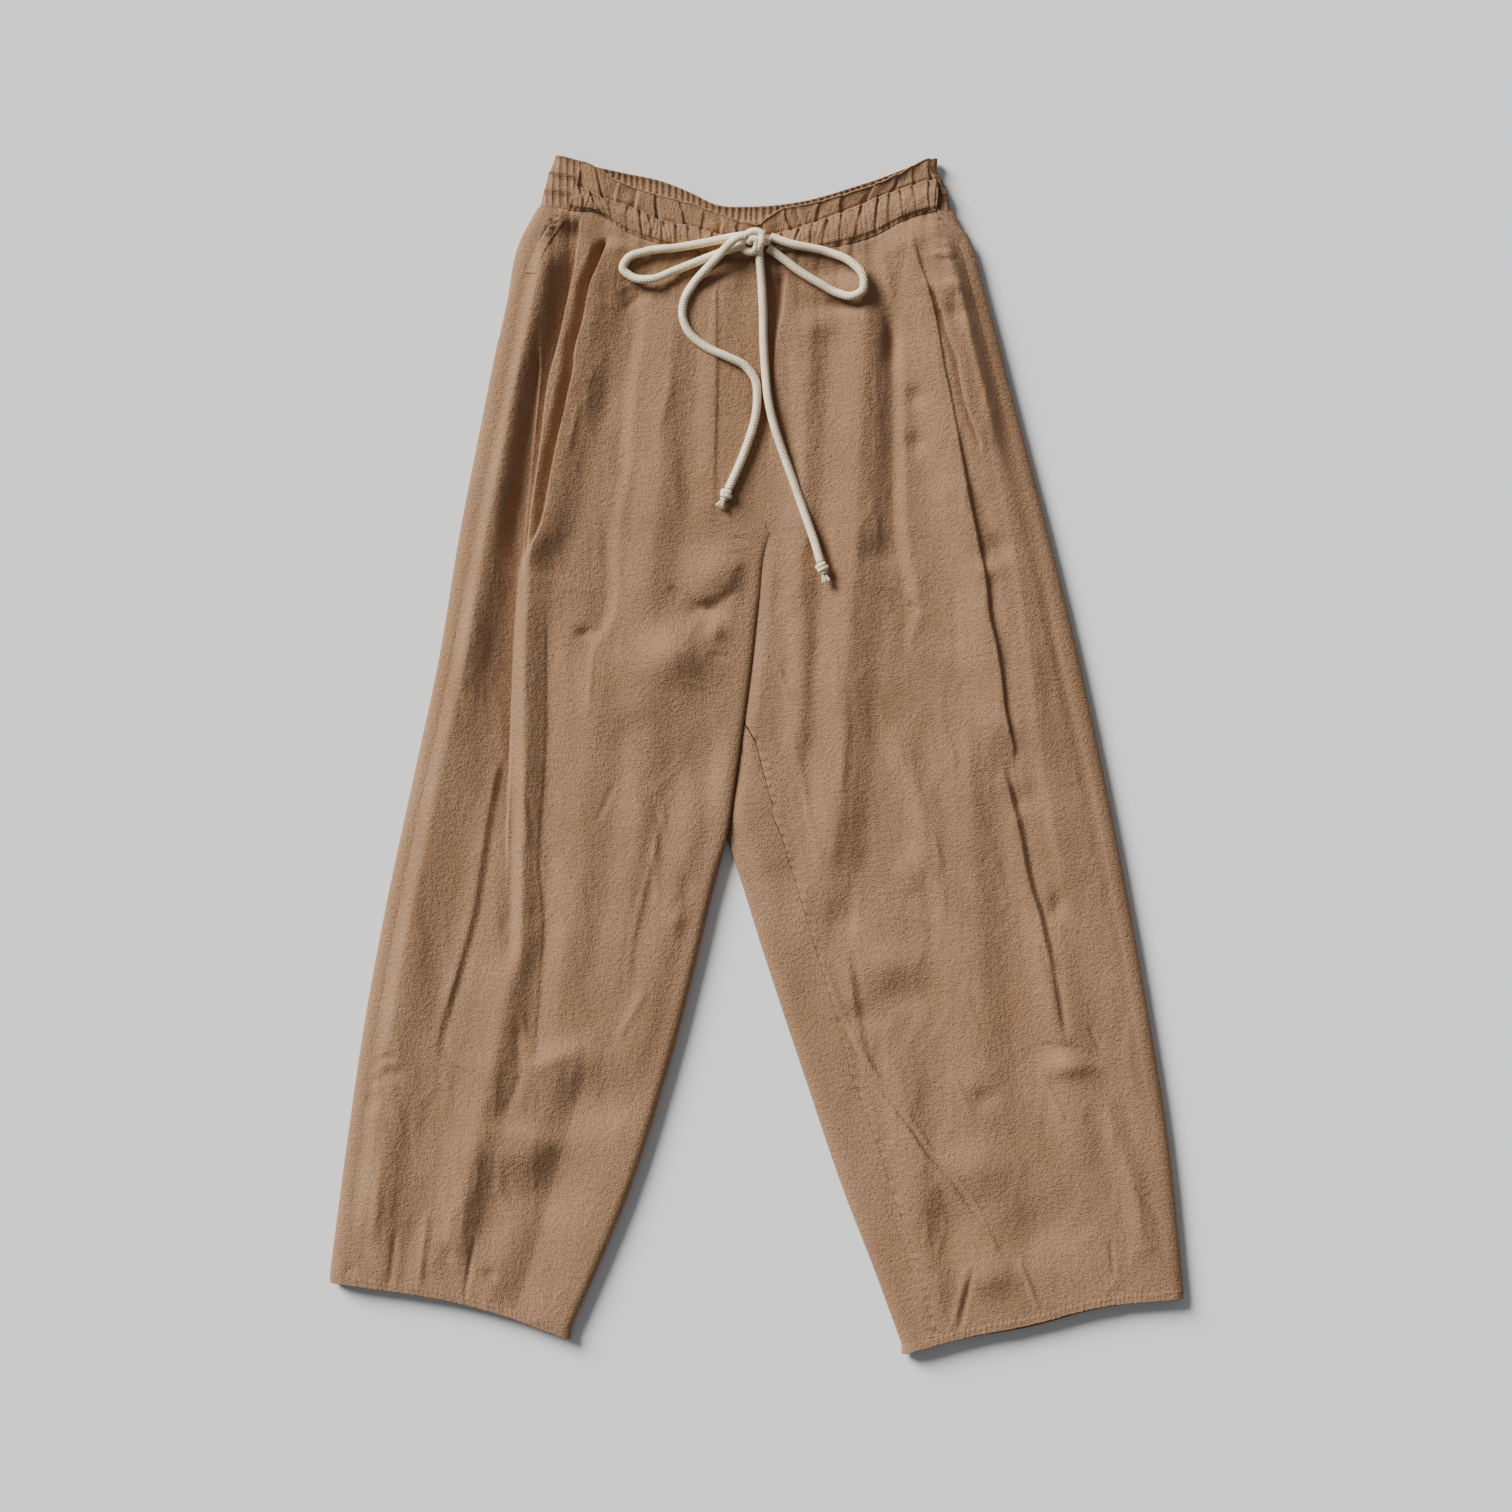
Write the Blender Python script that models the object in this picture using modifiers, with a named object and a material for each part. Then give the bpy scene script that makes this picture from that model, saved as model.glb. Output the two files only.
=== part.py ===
"""Drawstring trousers laid flat on their back, modelled in Blender at their real size.

The garment lies on the plane z = 0 with its waist towards +Y. The wearer's right leg is at -X and the
left leg at +X. Tables and sizes are in millimetres, and MM turns them into Blender's metres.
Each leg is a flattened tube: a back piece flat on the ground, rolled edges, and a front piece above it.
"""

import math
from collections import namedtuple

import bpy
import numpy as np

MM = 0.001

# Driving dimensions of the cloth
WALL = 1.5            # thickness of a single piece of cloth
HEM_WALL = 2.4        # the hem is turned twice
SEAM = 0.3            # gap at a seam
WAIST_SEAM = 0.6      # gap where the folds run into the waistband
LOFT = 14.0           # height of the front piece above the ground
HEM_HEIGHT = 8.5
BAND_LOFT = 13.5
BAND_SWELL = 2.2      # rise of one shirred row between its stitch lines
GATHERS = 70          # narrow gathers round the elasticated waistband
GATHER_RISE = 1.7
CORD = 6.8            # drawstring diameter

TRIM = 0.8            # thickness of the pocket edges

# Outline: position along the leg (y) against the silhouette (x)
OUTER_RIGHT = ((467, -186), (439, -201), (388, -212), (286, -233), (184, -253), (82, -270), (-20, -292),
               (-122, -314), (-224, -333), (-326, -348), (-448, -364))
OUTER_LEFT = ((464, 168), (439, 181), (388, 196), (286, 223), (184, 250), (82, 275), (-20, 297),
              (-122, 317), (-224, 335), (-326, 351), (-462, 365))
INNER_RIGHT = ((423, 10), (395, 14), (235, 17), (206, 17), (190, 17), (172, 9), (133, 3), (82, -3),
               (-20, -17), (-71, -25), (-122, -38), (-173, -50), (-275, -77), (-377, -110), (-428, -131),
               (-496, -161))
INNER_LEFT = ((423, -8), (395, -4), (235, -1), (206, -1), (190, -1), (172, -3), (82, -13), (-20, -28),
              (-45, -31), (-58, -30), (-70, -25), (-97, -16), (-173, 8), (-275, 42), (-377, 77), (-428, 97),
              (-509, 127))

# Seams: how far in from the silhouette they lie, positive on top and negative underneath
OUTSEAM_RIGHT = ((467, 21), (455, 19), (411, 11), (387, 7), (365, 4), (345, 0), (-448, 0))
OUTSEAM_LEFT = ((464, 14), (456, 14), (446, 8), (436, 0), (-462, 0))
INSEAM_RIGHT = ((423, 9), (190, 9), (172, -12), (100, -14), (-496, -16))
INSEAM_LEFT = ((423, 9), (192, 9), (172, 0), (45, 0), (31, 8), (8, 24), (-21, 35), (-47, 45), (-120, 44),
               (-195, 43), (-275, 38), (-343, 40), (-411, 37), (-509, 27))

# Rolled edges: position along the leg against the roll's width, its top and its underside
Roll = namedtuple("Roll", "y width top under")
OUTER_ROLLS = (Roll(470, 12, LOFT, 0), Roll(-510, 12, LOFT, 0))
INNER_ROLLS_RIGHT = (Roll(423, 8, LOFT, 6.4), Roll(172, 8, LOFT, 6.4), Roll(100, 12, LOFT, 6.4),
                     Roll(-72, 12, LOFT, 6.4), Roll(-98, 12, LOFT, 0), Roll(-510, 12, LOFT, 0))
INNER_ROLLS_LEFT = (Roll(423, 8, LOFT, 0), Roll(208, 8, LOFT, 0), Roll(184, 3, 5.4, 0), Roll(-58, 3, 5.4, 0),
                    Roll(-150, 11, LOFT, 0), Roll(-510, 12, LOFT, 0))
BACK_ROLLS_LEFT = (Roll(423, 0, 0, 0), Roll(190, 0, 0, 0), Roll(172, 3, 5.4, 0)) + INNER_ROLLS_LEFT[3:]

# Edges of the waistband: position across (x) against position along (y)
BACK_TOP = ((-190, 512), (-172, 511.5), (-148, 505.5), (-110, 497), (-82, 491), (-56, 481), (-35, 471),
            (-5, 469), (37, 473), (97, 490), (152, 508), (170, 509))
BACK_FOOT = ((-190, 467), (-172, 466.5), (-110, 454), (-56, 436), (-5, 426), (37, 429), (97, 444), (152, 463),
             (170, 464))
HEADER_TOP = ((-190, 512), (-172, 511.5), (-148, 505.5), (-120, 493), (-99, 482), (-48, 467), (-5, 452),
              (37, 463), (88, 482), (152, 508), (170, 509))
CASING_FOOT = ((-190, 467), (-172, 466.5), (-159, 464), (-133, 461), (-110, 446), (-82, 436), (-56, 430),
               (-5, 423), (33, 429), (65, 433), (100, 442), (127, 456), (152, 463), (170, 464))
HEM_RIGHT = ((-364, -448), (-303, -456.5), (-269, -462), (-218, -475), (-161, -496))
HEM_LEFT = ((127, -509), (173, -496), (233, -484), (292, -469), (365, -462))
HEM_DROP_LEFT = 3.5   # how far the left leg's back hem shows below its front hem
BAND_SIDE_RIGHT = ((0, -171.5), (0.3, -176.8), (0.62, -181), (1, -185.3))
BAND_SIDE_LEFT = ((0, 155.5), (0.25, 155), (0.45, 160.5), (1, 167))
BAND_SEAM_RIGHT = ((0, 24), (0.5, 26), (1, 26))
BAND_SEAM_LEFT = ((0, 8), (0.3, 6), (0.5, 8), (1, 14))

# Positions along the inner edge where a section is taken
SECTIONS = (423, 388, 345, 300, 250, 206, 190, 181, 172, 140, 90, 45, 20, -10, -45, -60, -72, -97, -135,
            -190, -250, -310, -370, -430)

# Largest folds: spine points (y, x), height, and how wide the fold falls away on each side
Fold = namedtuple("Fold", "name spine height left right")
FOLDS = (
    Fold("side ridge right", ((455, -174), (388, -184), (303, -198), (218, -214), (100, -232), (20, -246)),
         7, 24, 22),
    Fold("deep valley right", ((450, -161), (388, -168), (325, -179), (258, -186), (200, -194), (130, -202),
                               (40, -210)), -6, 10, 7),
    Fold("narrow pleat", ((446, -140), (404, -154), (370, -164), (332, -172), (300, -177), (240, -186)),
         7, 4, 6),
    Fold("long ridge right", ((436, -131), (388, -141), (318, -159), (276, -168), (227, -178), (180, -189),
                              (132, -198), (82, -201), (33, -202), (-92, -203), (-161, -205), (-191, -212),
                              (-272, -238), (-360, -259)), 8, 6, 30),
    Fold("second ridge right", ((425, -89), (392, -95), (339, -101), (267, -110), (190, -117), (124, -124),
                                (92, -138)), 7, 6, 28),
    Fold("front valley right", ((400, -38), (333, -46), (260, -47), (190, -46)), -3, 16, 14),
    Fold("centre ridge right", ((392, -30), (330, -33), (240, -34)), 3, 6, 16),
    Fold("thigh ridge right", ((7, -208), (-55, -224), (-126, -243), (-196, -257)), 4, 9, 9),
    Fold("knee hollow right", ((60, -150), (-60, -160), (-180, -165)), -3, 22, 26),
    Fold("side crease right", ((-220, -300), (-300, -318), (-370, -325)), 3, 14, 10),
    Fold("front ridge left", ((430, 98), (364, 95), (320, 90), (260, 82), (200, 73), (130, 66), (40, 62)),
         7, 28, 13),
    Fold("pleat valley left", ((420, 108), (362, 116), (300, 116), (243, 112), (180, 106), (98, 105),
                               (14, 99), (-67, 92)), -5, 9, 6),
    Fold("pleat edge left", ((428, 104), (394, 112), (360, 119), (289, 124), (190, 124), (139, 129),
                             (115, 133)), 7, 5, 24),
    Fold("overlap left", ((438, 135), (401, 145), (364, 153), (314, 163), (276, 171), (227, 180), (152, 195),
                          (65, 210), (10, 218)), 7, 26, 5),
    Fold("side pleat left", ((422, 144), (377, 157), (326, 173), (289, 184), (264, 193)), 4, 5, 8),
    Fold("side ridge left", ((420, 176), (330, 196), (240, 218), (130, 246), (20, 268)), 4, 14, 14),
    Fold("centre ridge left", ((408, 25), (364, 19), (314, 14), (260, 14)), 4, 6, 26),
    Fold("crotch hollow left", ((170, 34), (110, 26), (50, 22)), -3, 18, 22),
    Fold("knee ridge left", ((-20, 150), (-110, 176), (-210, 190)), 3, 22, 20),
    Fold("diagonal crease left", ((-173, 80), (-275, 104), (-345, 152), (-416, 206)), 2.5, 7, 7),
)
# Trim sewn on a front panel: its rows and columns of that panel's grid, from and to
Trim = namedtuple("Trim", "name side rows columns")
TRIMS = (Trim("pocket_edge_right", "right", (0.25, 1.5), (0.5, 2.5)),
         Trim("pocket_edge_left", "left", (0.1, 0.9), (0.5, 2.5)))
FOLD_START = 28       # distance below the waistband over which a fold reaches its height
FOLD_END = 60         # distance over which it dies away

# Dents: centre, depth and radii
Dent = namedtuple("Dent", "x y depth across along")
DENTS = (Dent(-44, 126, -4, 22, 12), Dent(-92, 108, 4, 20, 22), Dent(-214, -290, -4, 14, 20),
         Dent(-196, -345, -3, 36, 22), Dent(-332, -285, -3, 12, 14), Dent(224, -385, -3, 34, 30),
         Dent(158, -394, -3, 24, 26), Dent(118, -153, -3, 14, 16), Dent(204, 178, -4, 14, 14),
         Dent(44, -200, -2, 30, 40))

# Drawstring: points of each route, chosen by hand along the cloth
KNOT_CENTRE = (1.7, 437.8, 23)
KNOT_RADII = (8.8, 8.4, 6.4)
ROUTES = {
    "loop_right": ((-8.9, 441.8, 20), (-22, 440, 19.2), (-38, 436.5, 20), (-67, 431.5, 19.6),
                   (-94, 428, 20), (-109, 422, 20), (-113, 414, 20), (-105.5, 406.5, 21), (-89, 404, 24.5),
                   (-67, 412.5, 20.5),
                   (-36, 425, 19), (-20, 430.5, 20.6), (-8.4, 433.2, 21)),
    "loop_left": ((12.4, 440.5, 20), (28, 435, 20.6), (62, 427.5, 19), (80, 419, 22.3), (91, 405.5, 25),
                  (90, 394.5, 25), (82, 390, 23.5), (70, 392.5, 20), (54, 401, 18.8), (38, 410.5, 19.2),
                  (24, 421, 19.6), (10.4, 431.2, 20)),
    "tail_right": ((-8.2, 440, 29.5), (-14, 439, 30), (-22, 433.5, 29.5), (-31, 424, 27), (-42, 413, 22.5),
                   (-53, 401, 19.2), (-61, 387, 18.4), (-62.5, 374, 18), (-57, 360, 17.8), (-43, 347.5, 18.6),
                   (-24, 338.5, 20.4), (-9.4, 331, 19.2), (-0.6, 319, 18.4), (1, 304, 18.4),
                   (-0.5, 288, 18.4),
                   (-5.5, 270, 18.5), (-15, 245, 18.8), (-23.4, 226.5, 20.2)),
    "tail_left": ((2.6, 428, 20.5), (4.6, 404, 19), (6, 377.5, 18.8), (6.4, 352, 19), (8, 325.5, 19),
                  (10.4, 302, 21), (16, 278, 21.4), (22, 260, 20), (31.5, 234, 18.8), (41.6, 205, 19.4),
                  (50.5, 179, 21.6), (54.6, 164.5, 23.6)),
}
TAIL_KNOTS = {"tail_knot_right": "tail_right", "tail_knot_left": "tail_left"}
# Turned profile of a tail's end: distance along the cord and radius of the knot, then of the frayed tip
TAIL_PROFILE = ((0, 0), (0.4, 3.2), (2, 5.0), (5, 5.9), (8, 5.2), (9.6, 3.4), (11, 3.2), (14, 4.0),
                (17, 4.4), (17.4, 0))

COLOURS = {"cloth": (0.375, 0.235, 0.155), "cord": (0.83, 0.78, 0.68)}


def smooth(amount):
    """Ease from 0 to 1 with level ends."""
    t = np.clip(amount, 0, 1)
    return t * t * (3 - 2 * t)


def read_curve(rows, at):
    """Read a smooth curve through (position, value) rows at the given positions."""
    knots, values = np.array(sorted(rows), float).T
    slopes = np.gradient(values, knots)
    at = np.clip(at, knots[0], knots[-1])
    i = np.clip(np.searchsorted(knots, at) - 1, 0, len(knots) - 2)
    span = knots[i + 1] - knots[i]
    t = (at - knots[i]) / span
    rise = values[i + 1] - values[i]
    return (values[i] + t * t * (3 - 2 * t) * rise
            + span * t * (1 - t) * (slopes[i] * (1 - t) - slopes[i + 1] * t))


def read_line(rows, at):
    """Read straight runs between (position, value) rows at the given positions."""
    knots, values = np.array(sorted(rows), float).T
    return np.interp(at, knots, values)


def fold_heights(x, y):
    """Sum the folds: a raised cosine across each spine, fading at both of its ends."""
    total = np.zeros(np.broadcast(x, y).shape)
    for fold in FOLDS:
        top, foot = fold.spine[0][0], fold.spine[-1][0]
        offset = x - read_curve(fold.spine, y)
        across = np.clip(offset / np.where(offset < 0, fold.left, fold.right), -1, 1)
        along = smooth((top + FOLD_START / 2 - y) / FOLD_START) * smooth((y - foot + FOLD_END / 2) / FOLD_END)
        total += fold.height * along * (1 + np.cos(math.pi * across)) / 2
    for dent in DENTS:
        away = ((x - dent.x) / dent.across) ** 2 + ((y - dent.y) / dent.along) ** 2
        total += dent.depth * np.exp(-1.5 * away)
    return total


def band_relief(x, y):
    """Swell of the drawstring casing and the loose waves of the header above it."""
    foot = read_curve(CASING_FOOT, x)
    up = (y - foot) / (read_curve(HEADER_TOP, x) - foot)
    casing = 2.2 * np.sin(math.pi * np.clip(up / 0.52, 0, 1))
    crumple = 0.8 * np.sin(x / 1.9) * np.sin(math.pi * np.clip(up / 0.7, 0, 1))
    header = 1.5 * np.sin(x / 4.1 + 1.2 * np.sin(x / 17)) * smooth((up - 0.5) / 0.3)
    return casing + crumple + header


def front_height(x, y):
    """Height of the upper face of the front, over the legs and the waistband."""
    below = read_curve(CASING_FOOT, x) - y
    on_leg = smooth((below + 5) / FOLD_START)
    return LOFT + fold_heights(x, y) * on_leg + np.where(below < 0, band_relief(x, y), 0)


class Edge:
    """One rolled edge of a section: its extreme point, roll, seam and the way to the inside."""

    def __init__(self, x, inward, width, top, under, inset, blend):
        self.x, self.inward, self.width, self.blend = x, inward, width, blend
        self.top, self.under = top, under
        self.half = (top - under) / 2
        self.quarter = 0.8 * (width + self.half)
        self.seam = self.girth(inset)

    def girth(self, inset):
        """Distance round the roll to a point that lies this far in from the silhouette."""
        size = abs(inset)
        if size >= self.width:
            around = self.quarter + size - self.width
        else:
            around = self.quarter * math.acos(1 - size / self.width) / (math.pi / 2)
        return math.copysign(around, inset)

    def place(self, girth):
        """Inset and height of points at signed distances round the roll, positive on top."""
        turn = np.clip(girth / max(self.quarter, 1e-6), -1, 1) * math.pi / 2
        inset = self.width * (1 - np.cos(turn)) + np.maximum(np.abs(girth) - self.quarter, 0)
        return inset, self.under + self.half * (1 + np.sin(turn))


def spread(start, stop, count, weight):
    """Positions from start to stop that crowd together where the weight function is large."""
    fine = np.linspace(start, stop, 300)
    total = np.concatenate(([0], np.cumsum(weight(fine)[1:])))
    return np.interp(np.linspace(0, total[-1], count), total, fine)


def half_gap(edge, count, gap):
    """Half the gap at a seam, wider on a roll, where both walls lean towards each other inside."""
    if gap == 0 or abs(edge.seam) >= edge.quarter:
        return gap / 2
    column = max(edge.quarter, 10) / count
    near = 0.0
    for _ in range(4):
        far = min(math.pi / 2, near + column / edge.quarter * math.pi / 2)
        lean = math.atan2(edge.width * (math.cos(near) - math.cos(far)),
                          edge.half * (math.sin(far) - math.sin(near)))
        near = math.asin(min(0.9, (gap / 2 + WALL * math.sin(lean) + 0.05) / edge.half))
    return near * edge.quarter / (math.pi / 2)


def section(first, second, side, y_at, counts, height=front_height, gap=SEAM):
    """One row of a piece from its seam on the first edge to its seam on the second.

    side is 1 over the top and -1 underneath. y_at gives y from x and from which points are on top.
    """
    across = (second.x - first.x) * first.inward
    length = first.quarter + second.quarter + across - first.width - second.width
    start = side * first.seam + half_gap(first, counts[0], gap)
    stop = length - side * second.seam - half_gap(second, counts[2], gap)
    inner_start = max(first.quarter, start + 10)
    inner_stop = length - max(second.quarter, length - stop + 10)

    def points(s):
        near = s < length / 2
        girth = np.where(near, s, length - s) * side
        inset_1, z_1 = first.place(girth)
        inset_2, z_2 = second.place(girth)
        x = np.where(near, first.x + first.inward * inset_1, second.x + second.inward * inset_2)
        quarter = np.where(near, first.quarter, second.quarter)
        y = y_at(x, girth > 0)
        flat = height(x, y)
        for edge in (first, second):
            inset = (x - edge.x) * edge.inward
            flat = edge.top + (flat - edge.top) * smooth((inset - edge.width) / edge.blend)
        under = np.where(near, z_1, z_2) * (1 - smooth((np.abs(girth) - quarter) / 25))
        z = np.where(girth > quarter, flat, np.where(girth < -quarter, under, np.where(near, z_1, z_2)))
        return np.stack([x, y, z], axis=-1)

    def weight(s):
        x, y = points(s)[:, :2].T
        slope = np.gradient(fold_heights(x, y - FOLD_START / 2), s) * (side > 0)
        return 0.35 + np.abs(slope) + 4 * np.abs(np.gradient(slope, s))

    middle = spread(inner_start, inner_stop, counts[1] + 1, weight)
    return points(np.concatenate([np.linspace(start, inner_start, counts[0] + 1)[:-1], middle,
                                  np.linspace(inner_stop, stop, counts[2] + 1)[1:]]))


class Leg:
    """Sections of one leg, read from its outline, seam and roll tables."""

    def __init__(self, outer, inner, outseam, inseam, rolls, hem, hem_drop, inward):
        self.outer, self.inner, self.outseam, self.inseam = outer, inner, outseam, inseam
        self.rolls, self.hem, self.hem_drop, self.inward = rolls, hem, hem_drop, inward
        ends = sorted(hem, key=lambda row: row[0] * inward)
        self.outer_span = (outer[0][0] - WAIST_SEAM, ends[0][1] + HEM_HEIGHT + SEAM)
        self.inner_span = (inner[0][0] - WAIST_SEAM, ends[-1][1] + HEM_HEIGHT + SEAM)
        self.rows = [(inner[0][0] - y) / (inner[0][0] - self.inner_span[1]) for y in SECTIONS] + [1.0]

    def edges(self, v, rolls=None):
        """Outer and inner edge of the section at fraction v of the leg."""
        y_outer = self.outer_span[0] + v * (self.outer_span[1] - self.outer_span[0])
        y_inner = self.inner_span[0] + v * (self.inner_span[1] - self.inner_span[0])
        outer = Edge(float(read_curve(self.outer, y_outer)), self.inward, OUTER_ROLLS[0].width, LOFT, 0,
                     float(read_line(self.outseam, y_outer)), 16)
        shape = [float(read_line([(r.y, r[i]) for r in rolls or self.rolls], y_inner)) for i in (1, 2, 3)]
        blend = 28 if shape[1] < LOFT else 16
        inner = Edge(float(read_curve(self.inner, y_inner)), -self.inward, *shape,
                     float(read_line(self.inseam, y_inner)), blend)
        return outer, inner, y_outer, y_inner

    def y_at(self, v, shift=0.0):
        """Function that gives y across the section: level lines bent to the waist and hem curves."""
        outer, inner, y_outer, y_inner = self.edges(v)
        top_outer, top_inner, _, _ = self.edges(0)
        foot_outer, foot_inner, _, _ = self.edges(1)

        def read(x, on_top):
            f = np.clip((x - outer.x) / (inner.x - outer.x), 0, 1)
            x_top = top_outer.x + f * (top_inner.x - top_outer.x)
            x_foot = foot_outer.x + f * (foot_inner.x - foot_outer.x)
            line_top = self.outer_span[0] + f * (self.inner_span[0] - self.outer_span[0])
            line_foot = self.outer_span[1] + f * (self.inner_span[1] - self.outer_span[1])
            back_waist = read_curve(BACK_FOOT, x_top) - WAIST_SEAM * np.sin(math.pi * f)
            waist = np.where(on_top, read_curve(CASING_FOOT, x_top), back_waist)
            drop = np.where(on_top, 0, self.hem_drop * np.sin(math.pi * f))
            hem = read_curve(self.hem, x_foot) + HEM_HEIGHT + SEAM - drop
            return (y_outer + f * (y_inner - y_outer) + (waist - WAIST_SEAM - line_top) * (1 - v) ** 2
                    + (hem - line_foot) * v ** 3 + shift)

        return read


RIGHT = Leg(OUTER_RIGHT, INNER_RIGHT, OUTSEAM_RIGHT, INSEAM_RIGHT, INNER_ROLLS_RIGHT, HEM_RIGHT, 1.0, 1)
LEFT = Leg(OUTER_LEFT, INNER_LEFT, OUTSEAM_LEFT, INSEAM_LEFT, INNER_ROLLS_LEFT, HEM_LEFT, HEM_DROP_LEFT, -1)
HEMS = (("hem_right_front", RIGHT, 1), ("hem_right_back", RIGHT, -1), ("hem_left_front", LEFT, 1),
        ("hem_left_back", LEFT, -1))


def front_panel(leg):
    """Grid of a front piece, from the outseam over the top to the inseam or the centre seam."""
    rows = []
    for v in leg.rows:
        outer, inner, _, _ = leg.edges(v)
        rows.append(section(outer, inner, 1, leg.y_at(v), (4, 20, 5)))
    return np.array(rows)


def back_panel_left():
    """Grid of the left back piece: flat at the centre back, then rolled over the inner edge."""
    rows = []
    for v in LEFT.rows:
        outer, inner, _, y_inner = LEFT.edges(v, BACK_ROLLS_LEFT)
        if y_inner > INNER_ROLLS_LEFT[1].y - FOLD_START:
            inner.seam = 0.0
        rows.append(section(outer, inner, -1, LEFT.y_at(v), (4, 7, 6)))
    return np.array(rows)


def back_panel_right():
    """Grid of the right back piece, flat up to the left leg's edge and then to the inseam underneath."""
    rows = []
    for v in RIGHT.rows:
        outer, inner, _, y_inner = RIGHT.edges(v)
        beside_left = float(read_curve(INNER_LEFT, y_inner)) - 0.8
        beside_front = inner.x + float(read_line(INSEAM_RIGHT, y_inner)) - 2 * SEAM
        part = float(smooth((-56 - y_inner) / 20))
        end = Edge(beside_left + part * (beside_front - beside_left), -1, 0, 0, 0, 0, 1)
        rows.append(section(outer, end, -1, RIGHT.y_at(v), (4, 7, 2)))
    return np.array(rows)


def hem_strip(leg, side):
    """Grid of a turned hem, of a front (side 1) or a back (side -1): the leg's last section, continued."""
    outer, inner, _, _ = leg.edges(1)
    counts = (4, 20, 5) if side > 0 else (4, 7, 6)
    shifts = (-SEAM, -SEAM - HEM_HEIGHT / 2, -SEAM - HEM_HEIGHT)
    return np.array([section(outer, inner, side, leg.y_at(1, shift), counts, gap=4 * SEAM)
                     for shift in shifts])


def band_edges(v):
    """Right and left edge of the waistband at fraction v of its height."""
    right = Edge(float(read_curve(BAND_SIDE_RIGHT, v)), 1, 9, BAND_LOFT, 0,
                 float(read_curve(BAND_SEAM_RIGHT, v)), 4)
    left = Edge(float(read_curve(BAND_SIDE_LEFT, v)), -1, 6, BAND_LOFT, 0,
                float(read_curve(BAND_SEAM_LEFT, v)), 4)
    return right, left


def waistband_front():
    """Grid of the front waistband: the frilled header and the drawstring casing."""
    def y_at(v):
        return lambda x, on_top: read_curve(HEADER_TOP, x) * (1 - v) + read_curve(CASING_FOOT, x) * v

    rows = []
    for v in (0, 0.28, 0.5, 0.74, 1):
        right, left = band_edges(v)
        rows.append(section(right, left, 1, y_at(v), (2, 62, 2), gap=2 * SEAM))
    return np.array(rows)


def waistband_back():
    """Grid and wall thickness of the elasticated waistband, in three shirred rows of narrow gathers."""
    def y_at(v):
        return lambda x, on_top: read_curve(BACK_TOP, x) * (1 - v) + read_curve(BACK_FOOT, x) * v

    columns = 2 * GATHERS
    fold = np.where(np.arange(columns + 1) % 2, 1.0, 0.0)
    rows, walls = [], []
    for i in range(7):
        v = i / 6
        right, left = band_edges(v)
        row = section(right, left, -1, y_at(v), (8, columns - 12, 4), height=lambda x, y: x * 0 + BAND_LOFT,
                      gap=2 * SEAM)
        rise = fold * GATHER_RISE + BAND_SWELL * (i % 2)
        on_top = row[:, 2] > BAND_LOFT / 2
        row[:, 2] += np.where(on_top, rise * 0.7, 0)
        rows.append(row)
        walls.append(WALL + np.where(row[:, 2] < 0.5, rise, 0))
    return np.array(rows), np.array(walls)


def on_panel(grid, trim):
    """Grid of a small piece sewn on a panel: the panel's own points, moved out."""
    i, j = np.linspace(*trim.rows, 6), np.linspace(*trim.columns, 5)
    i, j = np.meshgrid(i, j, indexing="ij")
    row, column = i.astype(int), j.astype(int)
    f, g = (i - row)[..., None], (j - column)[..., None]
    near = grid[row, column] * (1 - g) + grid[row, column + 1] * g
    far = grid[row + 1, column] * (1 - g) + grid[row + 1, column + 1] * g
    points = near * (1 - f) + far * f
    normal = np.cross(np.gradient(points, axis=0), np.gradient(points, axis=1))
    normal *= np.sign(normal[..., 2:]) / np.linalg.norm(normal, axis=-1, keepdims=True)
    return points + normal * (2 * SEAM + TRIM)


def add_material(name, colour, roughness):
    """Principled material of one colour."""
    material = bpy.data.materials.new(name)
    material.use_nodes = True
    shader = material.node_tree.nodes["Principled BSDF"]
    shader.inputs["Base Color"].default_value = (*colour, 1)
    shader.inputs["Roughness"].default_value = roughness
    shader.inputs["Metallic"].default_value = 0
    return material


def link(name, data, colour, roughness=0.85):
    """Put an object in the trousers' collection with a material of its own."""
    item = bpy.data.objects.new(name, data)
    item.data.materials.append(add_material(name + "_finish", COLOURS[colour], roughness))
    bpy.data.collections["drawstring_trousers"].objects.link(item)
    return item


def add_wall(name, grid, flip=False, wall=WALL, walls=None):
    """Turn a grid of outer points into a closed wall of cloth that is thickened inwards."""
    rows, columns = grid.shape[:2]
    faces = []
    for i in range(rows - 1):
        for j in range(columns - 1):
            k = i * columns + j
            face = (k, k + columns, k + columns + 1, k + 1)
            faces.append(face[::-1] if flip else face)
    mesh = bpy.data.meshes.new(name)
    mesh.from_pydata((grid.reshape(-1, 3) * MM).tolist(), [], faces)
    mesh.shade_smooth()
    item = link(name, mesh, "cloth")
    solid = item.modifiers.new("wall", "SOLIDIFY")
    solid.thickness = wall * MM
    solid.offset = -1
    if walls is not None:
        thickest = float(walls.max())
        solid.thickness = thickest * MM
        group = item.vertex_groups.new(name="wall")
        for index, value in enumerate(walls.ravel()):
            group.add([index], float(value) / thickest, "REPLACE")
        solid.vertex_group = "wall"
    return item


def smooth_route(points, step=2.4 * CORD):
    """Evenly spaced points on the smooth curve through a route's own points."""
    points = np.array(points, float)
    along = np.concatenate(([0], np.cumsum(np.linalg.norm(np.diff(points, axis=0), axis=1))))
    count = max(8, int(round(along[-1] / step)) + 1)
    at = np.linspace(0, along[-1], count)
    return np.stack([read_curve(list(zip(along, points[:, k])), at) for k in range(3)], axis=-1)


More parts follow.
